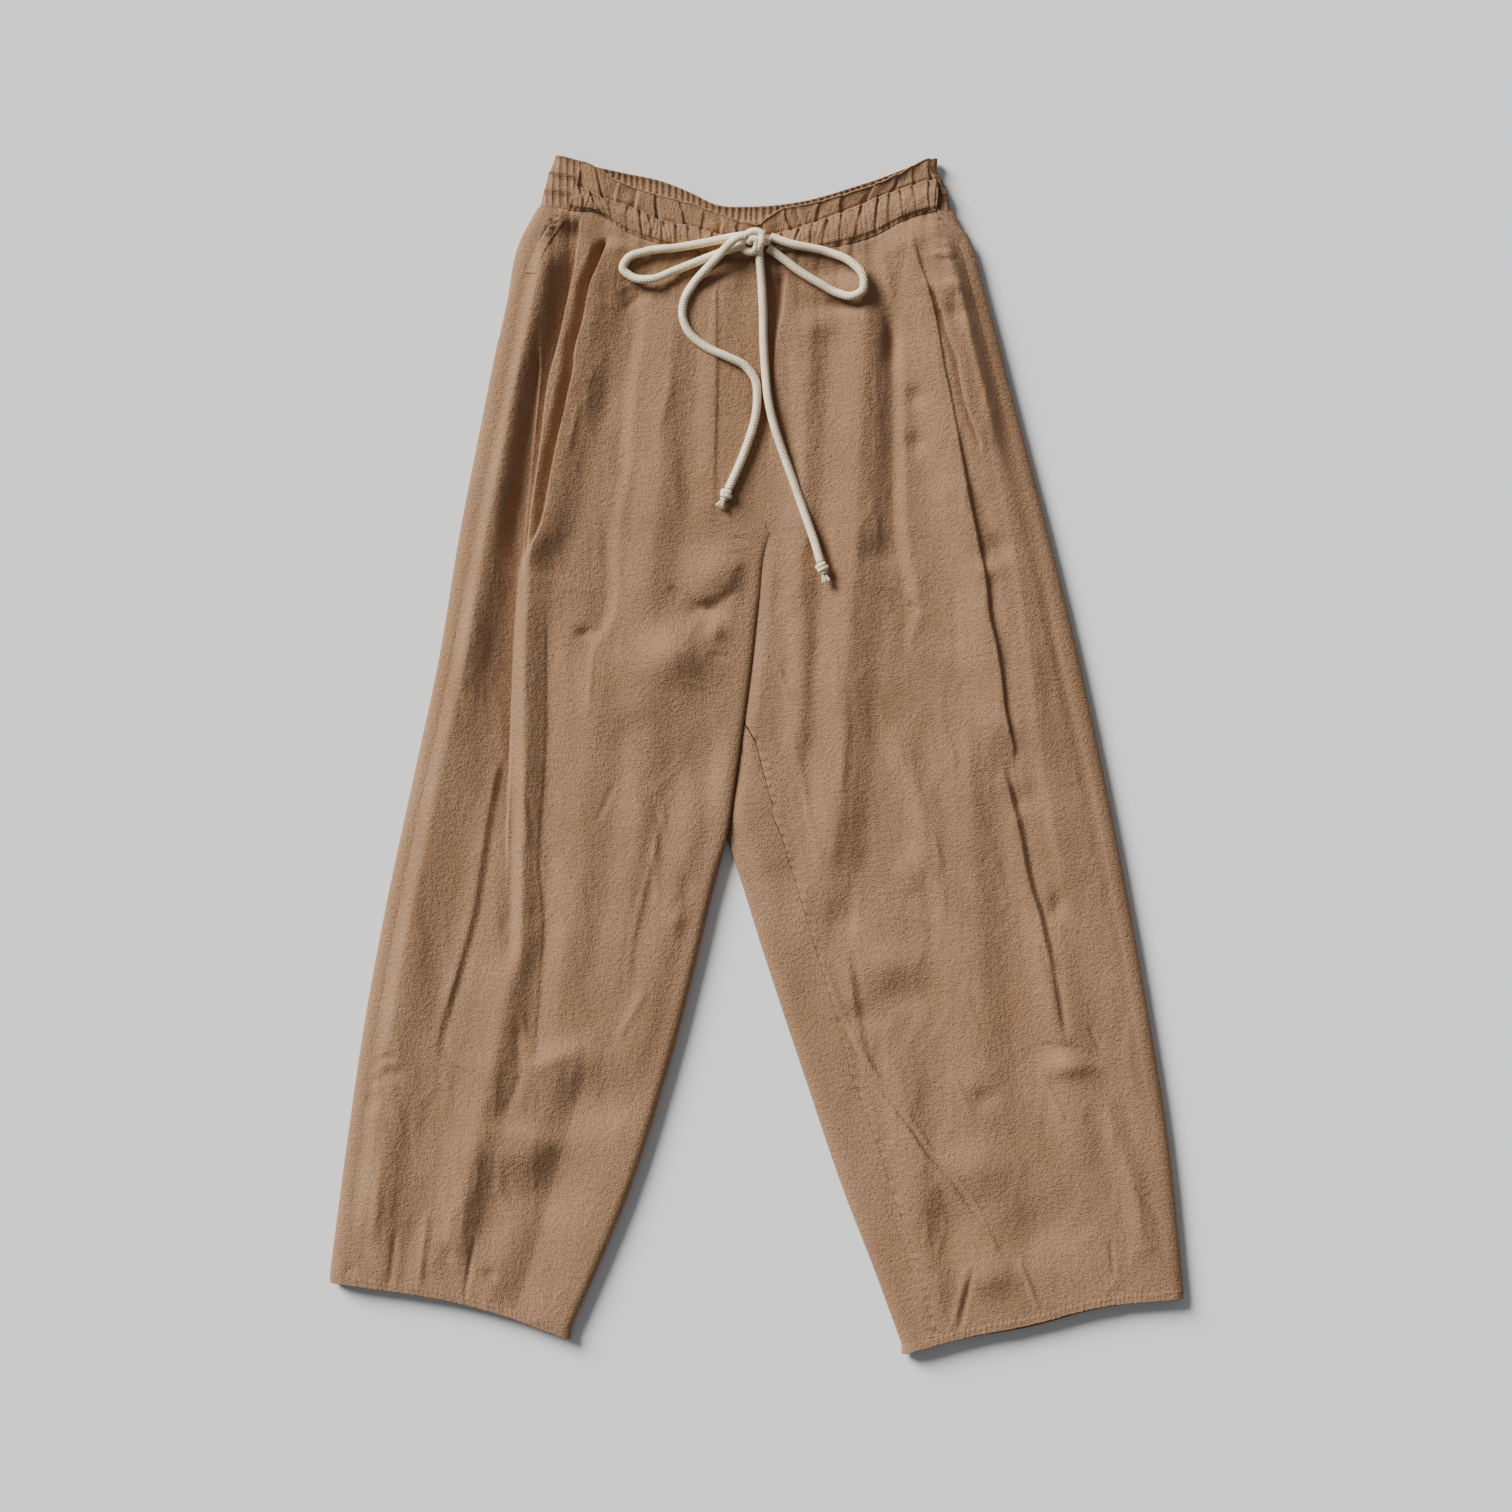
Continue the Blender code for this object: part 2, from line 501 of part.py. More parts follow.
def add_cord(name, route):
    """Round cord along a route, as a poly curve with a bevel and closed ends."""
    curve = bpy.data.curves.new(name, "CURVE")
    curve.dimensions = "3D"
    curve.bevel_depth = CORD / 2 * MM
    curve.bevel_resolution = 2
    curve.use_fill_caps = True
    points = smooth_route(route)
    spline = curve.splines.new("POLY")
    spline.points.add(len(points) - 1)
    for target, point in zip(spline.points, points):
        target.co = (*(point * MM), 1)
    return link(name, curve, "cord")


def add_bow_knot():
    """Body of the bow: a sphere drawn out to the knot's size and pinched at its waist."""
    bpy.ops.mesh.primitive_uv_sphere_add(segments=16, ring_count=10, radius=1)
    ball = bpy.context.object
    mesh = ball.data
    for vertex in mesh.vertices:
        pinch = 1 - 0.12 * math.cos(3 * math.atan2(vertex.co.y, vertex.co.x))
        vertex.co = [(vertex.co[k] * pinch * KNOT_RADII[k] + KNOT_CENTRE[k]) * MM for k in range(3)]
    bpy.data.objects.remove(ball)
    mesh.shade_smooth()
    link("bow_knot", mesh, "cord")


def add_tail_knot(name, route):
    """Overhand knot and frayed tip at the end of a tail, turned from a profile about the cord."""
    points = np.array(route, float)
    end = points[-1]
    heading = points[-1] - points[-2]
    heading[2] = 0
    heading /= np.linalg.norm(heading)
    turns = 12
    rings = []
    side = np.array([-heading[1], heading[0], 0])
    for distance, radius in TAIL_PROFILE[1:-1]:
        centre = end + heading * (distance + SEAM)
        rings.append([centre + radius * (side * math.cos(a) + np.array([0, 0, 0.85]) * math.sin(a))
                      for a in np.arange(turns) * 2 * math.pi / turns])
    vertices = [point for ring in rings for point in ring]
    vertices.append(end + heading * SEAM)
    vertices.append(end + heading * (TAIL_PROFILE[-1][0] + SEAM))
    faces = []
    for i in range(len(rings) - 1):
        for j in range(turns):
            k = (j + 1) % turns
            faces.append((i * turns + j, i * turns + k, (i + 1) * turns + k, (i + 1) * turns + j))
    last = (len(rings) - 1) * turns
    for j in range(turns):
        k = (j + 1) % turns
        faces.append((len(vertices) - 2, k, j))
        faces.append((len(vertices) - 1, last + j, last + k))
    mesh = bpy.data.meshes.new(name)
    mesh.from_pydata([tuple(np.array(vertex) * MM) for vertex in vertices], [], faces)
    mesh.shade_smooth()
    link(name, mesh, "cord")


def build():
    """Clear the scene and make every piece of the trousers."""
    for item in list(bpy.data.objects):
        bpy.data.objects.remove(item)
    bpy.context.scene.collection.children.link(bpy.data.collections.new("drawstring_trousers"))
    panels = {"right": front_panel(RIGHT), "left": front_panel(LEFT)}
    add_wall("front_right", panels["right"])
    add_wall("front_left", panels["left"], flip=True)
    for trim in TRIMS:
        add_wall(trim.name, on_panel(panels[trim.side], trim), flip=trim.side == "left", wall=TRIM)
    add_wall("back_right", back_panel_right(), flip=True)
    add_wall("back_left", back_panel_left())
    for name, leg, side in HEMS:
        add_wall(name, hem_strip(leg, side), flip=(side > 0) == (leg is LEFT), wall=HEM_WALL)
    add_wall("waistband_front", waistband_front())
    band, walls = waistband_back()
    add_wall("waistband_back", band, flip=True, walls=walls)
    for name, route in ROUTES.items():
        add_cord(name, route)
    add_bow_knot()
    for name, tail in TAIL_KNOTS.items():
        add_tail_knot(name, ROUTES[tail])


build()
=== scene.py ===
"""Washed cotton drawstring trousers laid flat on their back: their visible cloth, cord and stitching.

The garment lies on z = 0 with its waist towards +Y, and the wearer's right leg is at -X. Sizes and places are in
millimetres unless a name says otherwise, and MM turns them into the frame's metres. Every surface is a grid that
numpy works out as whole arrays: the rows of a leg run from the waist to the hem, and its columns run round it.
"""
import logging
import math
from dataclasses import dataclass
from enum import Enum
from typing import Callable, NamedTuple, Sequence

import bpy
import numpy as np
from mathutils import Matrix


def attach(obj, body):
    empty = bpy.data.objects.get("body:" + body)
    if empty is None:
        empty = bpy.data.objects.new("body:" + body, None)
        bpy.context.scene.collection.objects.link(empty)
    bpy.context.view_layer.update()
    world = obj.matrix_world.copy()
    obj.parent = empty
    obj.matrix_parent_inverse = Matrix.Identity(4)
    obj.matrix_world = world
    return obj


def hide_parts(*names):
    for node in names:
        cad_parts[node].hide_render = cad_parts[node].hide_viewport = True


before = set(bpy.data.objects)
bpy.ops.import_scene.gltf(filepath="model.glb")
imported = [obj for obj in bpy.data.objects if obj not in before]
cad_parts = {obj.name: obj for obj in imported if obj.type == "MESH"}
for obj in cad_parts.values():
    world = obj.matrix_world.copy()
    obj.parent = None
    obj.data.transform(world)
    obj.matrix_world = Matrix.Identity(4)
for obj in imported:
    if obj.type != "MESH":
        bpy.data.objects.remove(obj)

Array = np.ndarray
Rows = Sequence[tuple[float, float]]
LOG = logging.getLogger("trousers")
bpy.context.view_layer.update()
MM = 0.001

# The garment's own sizes, the same as in the solids
LOFT = 14.0
HEM_HEIGHT = 8.5
BAND_LOFT = 13.5
CORD = 6.8
GATHERS = 70
RIB_PITCH = 5.4
SEAM = 0.12
FOLD_START = 28.0
CROTCH = 180.0
FOLD_GAIN = 1.4
LOWEST = 2.5

# Outline: position along the leg (y) against the silhouette (x)
OUTER_RIGHT = ((467, -186), (439, -201), (388, -212), (286, -233), (184, -253), (82, -270), (-20, -292),
               (-122, -314), (-224, -333), (-326, -348), (-448, -364))
OUTER_LEFT = ((464, 168), (439, 181), (388, 196), (286, 223), (184, 250), (82, 275), (-20, 297),
              (-122, 317), (-224, 335), (-326, 351), (-462, 365))
INNER_RIGHT = ((423, 10), (395, 14), (235, 17), (206, 17), (190, 17), (172, 9), (133, 3), (82, -3),
               (-20, -17), (-71, -25), (-122, -38), (-173, -50), (-275, -77), (-377, -110), (-428, -131),
               (-496, -161))
INNER_LEFT = ((423, -8), (395, -4), (235, -1), (206, -1), (190, -1), (172, -3), (82, -13), (-20, -28),
              (-45, -31), (-58, -30), (-70, -25), (-97, -16), (-173, 8), (-275, 42), (-377, 77), (-428, 97),
              (-509, 127))

# Seams: how far in from the silhouette they lie, positive on top and negative underneath
OUTSEAM_RIGHT = ((467, 21), (455, 19), (411, 11), (387, 7), (365, 4), (345, 0), (-448, 0))
OUTSEAM_LEFT = ((464, 14), (456, 14), (446, 8), (436, 0), (-462, 0))
INSEAM_RIGHT = ((423, 9), (190, 9), (172, -12), (100, -14), (-496, -16))
INSEAM_LEFT = ((423, 9), (196, 9), (184, 0), (45, 0), (31, 8), (8, 24), (-21, 35), (-47, 45), (-120, 44),
               (-195, 43), (-275, 38), (-343, 40), (-411, 37), (-509, 27))

# Edges of the waistband: position across (x) against position along (y)
BACK_TOP = ((-190, 512), (-172, 511.5), (-148, 505.5), (-110, 497), (-82, 491), (-56, 481), (-35, 471),
            (-5, 469), (37, 473), (97, 490), (152, 508), (170, 509))
BACK_FOOT = ((-190, 467), (-172, 466.5), (-110, 454), (-56, 436), (-5, 426), (37, 429), (97, 444), (152, 463),
             (170, 464))
HEADER_TOP = ((-190, 512), (-172, 511.5), (-148, 505.5), (-132, 497), (-119, 488.8), (-98.6, 481), (-47.6, 466.6),
              (-30, 459.9), (-9, 452.6), (2, 451.6), (11, 457.5), (23.8, 465), (37.4, 467.5), (88.4, 481),
              (122, 494.5), (136, 503), (152, 508), (170, 509))
CASING_TOP = ((-190, 492), (-154, 486), (-132, 475), (-104, 466), (-82, 456), (-56, 450), (-22, 442), (13, 443),
              (48, 453), (84, 467), (122, 482), (152, 490), (170, 492))
CASING_FOOT = ((-190, 467), (-172, 466.5), (-159, 464), (-133, 461), (-110, 446), (-82, 436), (-56, 430),
               (-5, 423), (33, 429), (65, 433), (100, 442), (127, 456), (152, 463), (170, 464))
HEM_RIGHT = ((-364, -448), (-303, -456.5), (-269, -462), (-218, -475), (-161, -496))
HEM_LEFT = ((127, -509), (173, -496), (233, -484), (292, -469), (365, -462))
HEM_DROP_LEFT = 3.5
BAND_SIDE_RIGHT = ((0, -171.5), (0.3, -176.8), (0.62, -181), (1, -185.3))
BAND_SIDE_LEFT = ((0, 155.5), (0.25, 155), (0.45, 160.5), (1, 167))
BAND_SEAM_RIGHT = ((0, 24), (0.5, 26), (1, 26))
BAND_SEAM_LEFT = ((0, 8), (0.3, 6), (0.5, 8), (1, 14))


class Roll(NamedTuple):
    """A rolled edge at one place along a leg: its width, its top and its underside."""

    y: float
    width: float
    top: float
    under: float


OUTER_ROLLS = (Roll(470, 12, LOFT, 0), Roll(-510, 12, LOFT, 0))
INNER_ROLLS_RIGHT = (Roll(423, 8, LOFT, 6.4), Roll(172, 8, LOFT, 6.4), Roll(100, 9, LOFT, 6.4),
                     Roll(-72, 9, LOFT, 6.4), Roll(-98, 9, LOFT, 0), Roll(-510, 9, LOFT, 0))
INNER_ROLLS_LEFT = (Roll(423, 8, LOFT, 0), Roll(196, 8, LOFT, 0), Roll(176, 5, 11.4, 0), Roll(146, 3, 9, 0),
                    Roll(60, 3, 6.6, 0), Roll(-58, 3, 5.4, 0),
                    Roll(-150, 11, LOFT, 0), Roll(-510, 12, LOFT, 0))
BACK_ROLLS_LEFT = (Roll(423, 0, 0, 0), Roll(190, 0, 0, 0), Roll(172, 3, 5.4, 0)) + INNER_ROLLS_LEFT[3:]


class Pleat(NamedTuple):
    """A fold's line along a leg (y, x), and its height and reach on its -X and on its +X side.

    Cloth with a positive height swells up to the line, and with a negative one it rolls down into it. The two
    sides are joined over the width of the step between them.
    """

    line: Rows
    left: float
    left_reach: float
    right: float
    right_reach: float
    start: float = 18.0
    end: float = 50.0
    step: float = 1.6


PLEATS = (
    # Wearer's right leg, from the outer edge inwards
    Pleat(((120, -254), (60, -266), (-100, -296), (-250, -316), (-400, -332)), 3, 20, 4, 48, 70, 60, 20),
    Pleat(((430, -178), (388, -187), (286, -209), (184, -229), (82, -247)), 5, 16, 5, 30, 30, 120, 16),
    Pleat(((330, -184), (250, -192), (175, -199), (100, -205), (0, -209), (-60, -212)), -6, 46, 0, 4, 90, 120, 3),
    Pleat(((455, -150), (419, -154), (405, -157), (382, -162), (354, -168), (328, -175), (305, -179), (271, -183),
           (249, -186), (224, -190), (207, -192), (170, -196)), -9, 30, -0.6, 12, 14, 40),
    Pleat(((200, -193), (178, -196), (135, -199), (99, -201), (38, -202), (-23, -202), (-83, -203), (-144, -204),
           (-170, -205)), -2, 22, 4.4, 32, 70, 40, 13),
    Pleat(((-170, -209), (-219, -219), (-278, -231), (-345, -246), (-430, -263)), 2.4, 26, 4.4, 28, 40, 30, 18),
    Pleat(((436, -127), (416, -135), (405, -140), (388, -144), (368, -148), (351, -153), (326, -156), (309, -160),
           (293, -163), (277, -167), (249, -173), (220, -178), (201, -182), (170, -195)), -6.5, 14, 5.5, 38, 12, 36),
    Pleat(((398, -96), (362, -99), (320, -106), (277, -110), (249, -111), (207, -118), (164, -122), (135, -122),
           (113, -127), (99, -135), (92, -139)), -2.6, 28, 0.6, 16, 30, 50, 14),
    Pleat(((400, -70), (300, -80), (200, -88), (120, -96)), 3, 30, 3.4, 30, 30, 60, 12),
    Pleat(((402, -33), (362, -33), (305, -33), (266, -34), (210, -35)), 3, 26, 2, 38, 30, 80, 4),
    Pleat(((-10, -218), (-54, -226), (-83, -230), (-132, -238), (-181, -251), (-220, -263), (-250, -269)), 1, 14, -1.6, 18, 20, 50, 9),
    Pleat(((110, -178), (38, -178), (-23, -180), (-83, -184), (-145, -180), (-205, -184), (-256, -188)), -1.8, 20, -2.6, 20, 50, 50, 6),
    Pleat(((60, -130), (-20, -138), (-120, -150), (-200, -162)), 2, 30, 1.6, 26, 60, 60, 12),
    Pleat(((40, -90), (-80, -104), (-200, -124)), 1.2, 22, 1.6, 24, 50, 60, 12),
    Pleat(((-10, -48), (-100, -66), (-200, -92), (-260, -108)), 1.6, 22, 1.6, 30, 60, 60, 10),
    Pleat(((-270, -146), (-340, -166), (-420, -188), (-470, -204)), -3.4, 28, -3.4, 44, 60, 40, 24),
    Pleat(((-300, -306), (-380, -316), (-440, -322)), 1.2, 16, 1.2, 16, 40, 30, 10),
    # Wearer's left leg, from the centre outwards
    Pleat(((408, 24), (386, 22), (350, 16), (320, 13), (270, 12)), -4.4, 22, 1.6, 28, 14, 70, 5),
    Pleat(((372, 42), (300, 40), (200, 37), (110, 34)), 2.4, 18, 3.2, 22, 40, 70, 10),
    Pleat(((420, 97), (368, 96), (280, 93), (175, 88), (60, 80), (-40, 74), (-100, 68)), 5, 36, 3.8, 28, 40, 60, 12),
    Pleat(((120, 42), (60, 38), (0, 34)), 2, 16, 2, 14, 40, 50, 8),
    Pleat(((440, 101), (417, 104), (392, 110), (368, 116), (353, 119), (332, 120), (308, 121), (277, 121), (247, 122),
           (216, 122), (174, 125), (150, 130), (118, 132)), -3.6, 26, 0.8, 18, 20, 60, 14),
    Pleat(((456, 132), (444, 133), (414, 141), (387, 150), (356, 156), (332, 160), (308, 165), (277, 171), (247, 177),
           (216, 183), (186, 189), (150, 196), (116, 200), (95, 205), (64, 210), (37, 213), (8, 220)), 6.2, 40, 4.8, 52, 14, 50, 3),
    Pleat(((440, 170), (350, 189), (270, 204)), 4, 34, 3, 16, 30, 60, 14),
    Pleat(((262, 174), (247, 177), (216, 183), (186, 189), (150, 196), (116, 200), (95, 205), (64, 210), (37, 213),
           (8, 220)), 0, 10, -2.6, 22, 70, 50, 6),
    Pleat(((394, 152), (374, 159), (359, 163), (338, 171), (320, 174), (301, 178), (280, 185), (266, 191)),
          -2.5, 8, 2, 16, 12, 20),
    Pleat(((420, 166), (300, 192), (200, 212), (100, 228), (0, 240), (-100, 258)), 0.8, 10, 2.2, 50, 50, 80, 8),
    Pleat(((160, 247), (82, 261), (13, 278), (-48, 292), (-106, 305), (-150, 315), (-201, 323), (-300, 342)),
          -2.4, 14, 0.4, 10, 60, 60, 7),
    Pleat(((-15, 213), (-55, 224), (-106, 234), (-140, 244), (-175, 251), (-215, 259)), 2.2, 24, -1.2, 14, 30, 60, 7),
    Pleat(((14, 122), (-1, 125), (-28, 139), (-89, 149), (-130, 164)), 3, 18, 2.4, 22, 30, 40, 10),
    Pleat(((30, 176), (-100, 182), (-250, 190), (-310, 194)), 3, 40, 3.6, 34, 80, 70, 14),
    Pleat(((-150, 250), (-260, 268), (-350, 282)), 3, 34, 2.6, 30, 60, 70, 14),
    Pleat(((-173, 80), (-275, 104), (-345, 152), (-416, 206)), 1.4, 14, -0.6, 14, 30, 30, 9),
    Pleat(((-300, 302), (-360, 322), (-420, 334)), 2.6, 20, 1.4, 14, 40, 40, 12),
    Pleat(((-260, 120), (-380, 138), (-470, 150)), 2.4, 24, 2.8, 26, 60, 50, 12),
)


class Dent(NamedTuple):
    """A hollow or, with a positive depth, a bump: its centre, depth and radii across and along the leg."""

    x: float
    y: float
    depth: float
    across: float
    along: float


DENTS = (
    # Wearer's right leg
    Dent(-33, 155, 6.2, 26, 24), Dent(-68, 88, 7, 32, 26), Dent(-84, 70, 4.4, 46, 36), Dent(-44, -14, -4.4, 40, 40),
    Dent(-44, 124, -3.4, 18, 9), Dent(-34, 106, 2.6, 10, 10), Dent(-146, 104, -2.4, 8, 6), Dent(-154, -260, 3.4, 42, 20), Dent(-140, -300, -2.6, 46, 22),
    Dent(-198, -334, 3.8, 46, 20), Dent(-192, -374, -3.4, 46, 26), Dent(-228, -402, -3, 22, 30), Dent(-262, -424, -2, 9, 12),
    Dent(-332, -292, -3, 12, 10), Dent(-312, -270, -2.2, 11, 8), Dent(-336, -306, 2, 13, 6), Dent(-347, -437, -1.6, 8, 6),
    Dent(-226, -441, -1.6, 7, 6), Dent(-58, -112, -1.8, 9, 14), Dent(-66, -140, 1.8, 12, 12), Dent(-52, -160, -1.8, 9, 12),
    Dent(-100, -60, 2.0, 22, 46), Dent(-104, 40, 1.8, 22, 16), Dent(-128, 300, -2, 12, 30), Dent(-120, 220, 2, 14, 40),
    Dent(-70, 230, 1.8, 20, 50), Dent(-20, 404, 1.6, 12, 12), Dent(-136, 60, 1.6, 16, 40), Dent(-290, -160, 1.8, 16, 60),
    # Wearer's left leg
    Dent(110, -178, 3, 32, 20), Dent(124, -206, -2, 28, 16), Dent(74, -140, -3.4, 18, 20), Dent(134, -96, 3.2, 16, 20), Dent(92, -222, -2.4, 24, 14),
    Dent(190, -350, 3.8, 32, 26), Dent(168, -396, -3.8, 30, 30), Dent(240, -404, -3.8, 36, 30), Dent(198, -442, 4, 28, 18),
    Dent(196, -290, -2.6, 12, 12), Dent(266, -264, 3.6, 22, 11), Dent(256, -128, -2.4, 9, 12), Dent(204, 176, -2.6, 17, 14),
    Dent(197, 158, 2.0, 14, 10), Dent(221, 3, -1.2, 12, 16), Dent(229, -37, -2.2, 13, 12), Dent(44, -200, -1.6, 24, 36),
    Dent(116, 352, -4.4, 8, 24), Dent(136, 306, -2.4, 10, 10), Dent(136, 266, -2.4, 10, 10), Dent(106, 172, -2.6, 20, 16),
    Dent(186, 92, 1.8, 22, 34), Dent(165, 400, 2, 18, 8), Dent(170, 376, -2, 18, 9), Dent(156, 424, 1.8, 14, 6),
    Dent(74, 384, -3.4, 24, 8), Dent(12, 388, -2.4, 10, 20), Dent(56, 412, -2.2, 26, 12), Dent(52, 366, 1.8, 22, 12),
    Dent(60, -60, 1.8, 24, 30), Dent(40, 20, 2.0, 16, 24), Dent(60, 250, 1.8, 22, 50), Dent(30, -100, -1.8, 20, 30),
)


class Crease(NamedTuple):
    """A line pressed into the cloth: its points (x, y), its height, and its half-width."""

    points: Rows
    height: float
    width: float


CREASES = (
    # Wearer's right leg
    Crease(((-138, 95), (-143, 33)), 1.2, 2.4), Crease(((-120, -23), (-134, -54)), -1.3, 2.0),
    Crease(((-74, -35), (-89, -89), (-95, -114), (-105, -153), (-110, -205)), 1.0, 2.6),
    Crease(((-94, -199), (-117, -240)), 1.4, 3), Crease(((-73, 144), (-59, 133), (-45, 124)), -2.4, 5),
    Crease(((-45, 124), (-27, 133), (-16, 141)), -2.1, 5), Crease(((-37, 87), (-21, 82)), -1.6, 2.2),
    Crease(((-15, 12), (-4, -10)), -1.2, 2), Crease(((-306, -404), (-311, -450)), -1.7, 2.4),
    Crease(((-292, -396), (-299, -450)), -1.4, 6), Crease(((-279, -388), (-287, -452)), 1.7, 3),
    Crease(((-239, -410), (-248, -462)), -1.7, 2.2), Crease(((-259, -262), (-242, -274)), -1.2, 2.2),
    Crease(((-190, -268), (-172, -256), (-146, -248)), 2.2, 8), Crease(((-232, -318), (-196, -321), (-160, -333)), 2.2, 8),
    Crease(((-343, -293), (-331, -278), (-319, -275), (-312, -284)), -2.0, 3.4),
    Crease(((-325, -263), (-315, -256), (-304, -256)), -1.9, 3), Crease(((-204, -232), (-200, -272), (-212, -304)), -1.5, 4),
    Crease(((-318, -340), (-326, -410)), 1.2, 4), Crease(((-86, -60), (-84, -130)), 0.9, 2.4),
    Crease(((-100, 404), (-118, 396)), 1.2, 3), Crease(((-98, 392), (-112, 380)), -1.4, 3), Crease(((-76, 402), (-66, 390)), 1.5, 4),
    Crease(((-60, 64), (-44, 58)), 1.0, 2), Crease(((-150, 300), (-160, 260)), 1.0, 3), Crease(((-72, 330), (-80, 280)), 0.9, 3),
    Crease(((-18, 186), (-8, 182)), -1.4, 2), Crease(((-24, 172), (-9, 171)), -1.3, 2), Crease(((-20, 160), (-8, 163)), 1.1, 2),
    # Wearer's left leg
    Crease(((17, 79), (31, 44)), 1.2, 2.4),
    Crease(((71, -212), (90, -252), (111, -282), (133, -310), (151, -338), (170, -356), (188, -383), (203, -414)), 1.3, 2.2),
    Crease(((67, -214), (86, -254), (107, -284), (129, -312), (147, -340), (166, -358), (184, -386)), -1.1, 1.7),
    Crease(((54, -169), (71, -212)), 1.0, 2.4), Crease(((185, -435), (173, -488)), -1.6, 2.2),
    Crease(((180, -432), (167, -486)), 1.1, 2.4), Crease(((224, -429), (240, -471)), 1.5, 2.6),
    Crease(((301, -412), (305, -444)), -1.1, 2), Crease(((283, -230), (295, -254)), -1.3, 2.2),
    Crease(((241, -267), (262, -309)), 1.2, 2.4), Crease(((322, -367), (343, -391)), -1.1, 2.2),
    Crease(((167, -271), (184, -306)), 1.1, 2.4), Crease(((243, -162), (256, -202), (264, -236)), -2.2, 3.6),
    Crease(((243, -246), (268, -248), (292, -261)), -1.6, 4), Crease(((131, 131), (138, 122)), -2.4, 2.6),
    Crease(((189, 220), (203, 186), (214, 170)), -2.0, 5), Crease(((144, 429), (150, 422), (165, 421), (177, 426)), -1.7, 2.6),
    Crease(((152, 436), (176, 434)), 1.2, 3), Crease(((158, 408), (182, 402)), -1.2, 3), Crease(((150, 398), (168, 392)), 1.1, 3),
    Crease(((150, -60), (158, -96)), 0.9, 2.4), Crease(((36, 4), (44, -46), (56, -96)), 1.0, 2.6),
    Crease(((78, 30), (72, -30)), 0.9, 3), Crease(((176, -196), (190, -240)), 0.8, 3),
    # Patch below the knot, sewn twice across
    Crease(((-7, 410), (16, 410)), -1.4, 1.2), Crease(((-7, 407), (16, 407)), -1.4, 1.2),
    Crease(((-6, 418), (4, 421), (14, 418)), 1.5, 3), Crease(((-3, 400), (6, 397), (14, 400)), 1.2, 3),
)

# Seams that show on top: points (y, x), pitch of the puckers along them
INSEAM_LINE = ((45, -19), (31, -13), (8, 1), (-21, 7), (-47, 14), (-120, 36), (-195, 57), (-275, 80), (-343, 105),
               (-411, 127), (-509, 154))
POCKET_LINE_RIGHT = ((467, -165), (455, -174), (411, -196), (387, -205), (365, -213), (345, -221))
POCKET_LINE_LEFT = ((464, 154), (456, 158), (446, 169), (436, 182))
CENTRE_LINE = ((423, 1), (395, 5), (235, 8), (190, 8))


def smooth(amount: Array) -> Array:
    """Ease from 0 to 1 with level ends."""
    t = np.clip(amount, 0, 1)
    return t * t * (3 - 2 * t)


def read_curve(rows: Rows, at: Array) -> Array:
    """Read a smooth curve: a cubic through (position, value) rows with the rows' own central slopes.

    Args:
        rows: Positions and values, in any order.
        at: Positions to read.

    Returns:
        The value at each position, held at the first and last row beyond them.
    """
    knots, values = np.array(sorted(rows), float).T
    slopes = np.gradient(values, knots)
    at = np.clip(at, knots[0], knots[-1])
    i = np.clip(np.searchsorted(knots, at) - 1, 0, len(knots) - 2)
    span = knots[i + 1] - knots[i]
    t = (at - knots[i]) / span
    rise = values[i + 1] - values[i]
    return (values[i] + t * t * (3 - 2 * t) * rise
            + span * t * (1 - t) * (slopes[i] * (1 - t) - slopes[i + 1] * t))


def read_line(rows: Rows, at: Array) -> Array:
    """Read straight runs between (position, value) rows at the given positions."""
    knots, values = np.array(sorted(rows), float).T
    return np.interp(at, knots, values)


def noise(x: Array, y: Array, seed: int) -> Array:
    """Smooth noise from -1 to 1: random values on a unit lattice, joined by level-ended steps.

    Args:
        x, y: Places in lattice units.
        seed: Seed of the lattice.

    Returns:
        The noise at each place.
    """
    lattice = np.random.default_rng(seed).uniform(-1, 1, (251, 257))
    i, j = np.floor(x).astype(int), np.floor(y).astype(int)
    f, g = smooth(x - i), smooth(y - j)
    rows, columns = (i % 251, (i + 1) % 251), (j % 257, (j + 1) % 257)
    near = lattice[rows[0], columns[0]] * (1 - f) + lattice[rows[1], columns[0]] * f
    far = lattice[rows[0], columns[1]] * (1 - f) + lattice[rows[1], columns[1]] * f
    return near * (1 - g) + far * g


def crumple(x: Array, y: Array, seed: int) -> Array:
    """Washed crinkle of the cloth: ridged noise in three sizes, drawn out along the leg's thread."""
    total = np.zeros(np.broadcast(x, y).shape)
    for k, (across, along, height) in enumerate(((21, 50, 0.9), (9, 17, 0.4), (4, 6.5, 0.26))):
        sway = 0.6 * noise(x / 23 + k, y / 31, seed + 40 + k)
        drift = 0.7 * noise(x / 29, y / 41 + k, seed + 60 + k) + 0.3 * x / across
        total += height * (0.5 - np.abs(noise(x / across + sway, y / along + drift, seed + k)))
    return total


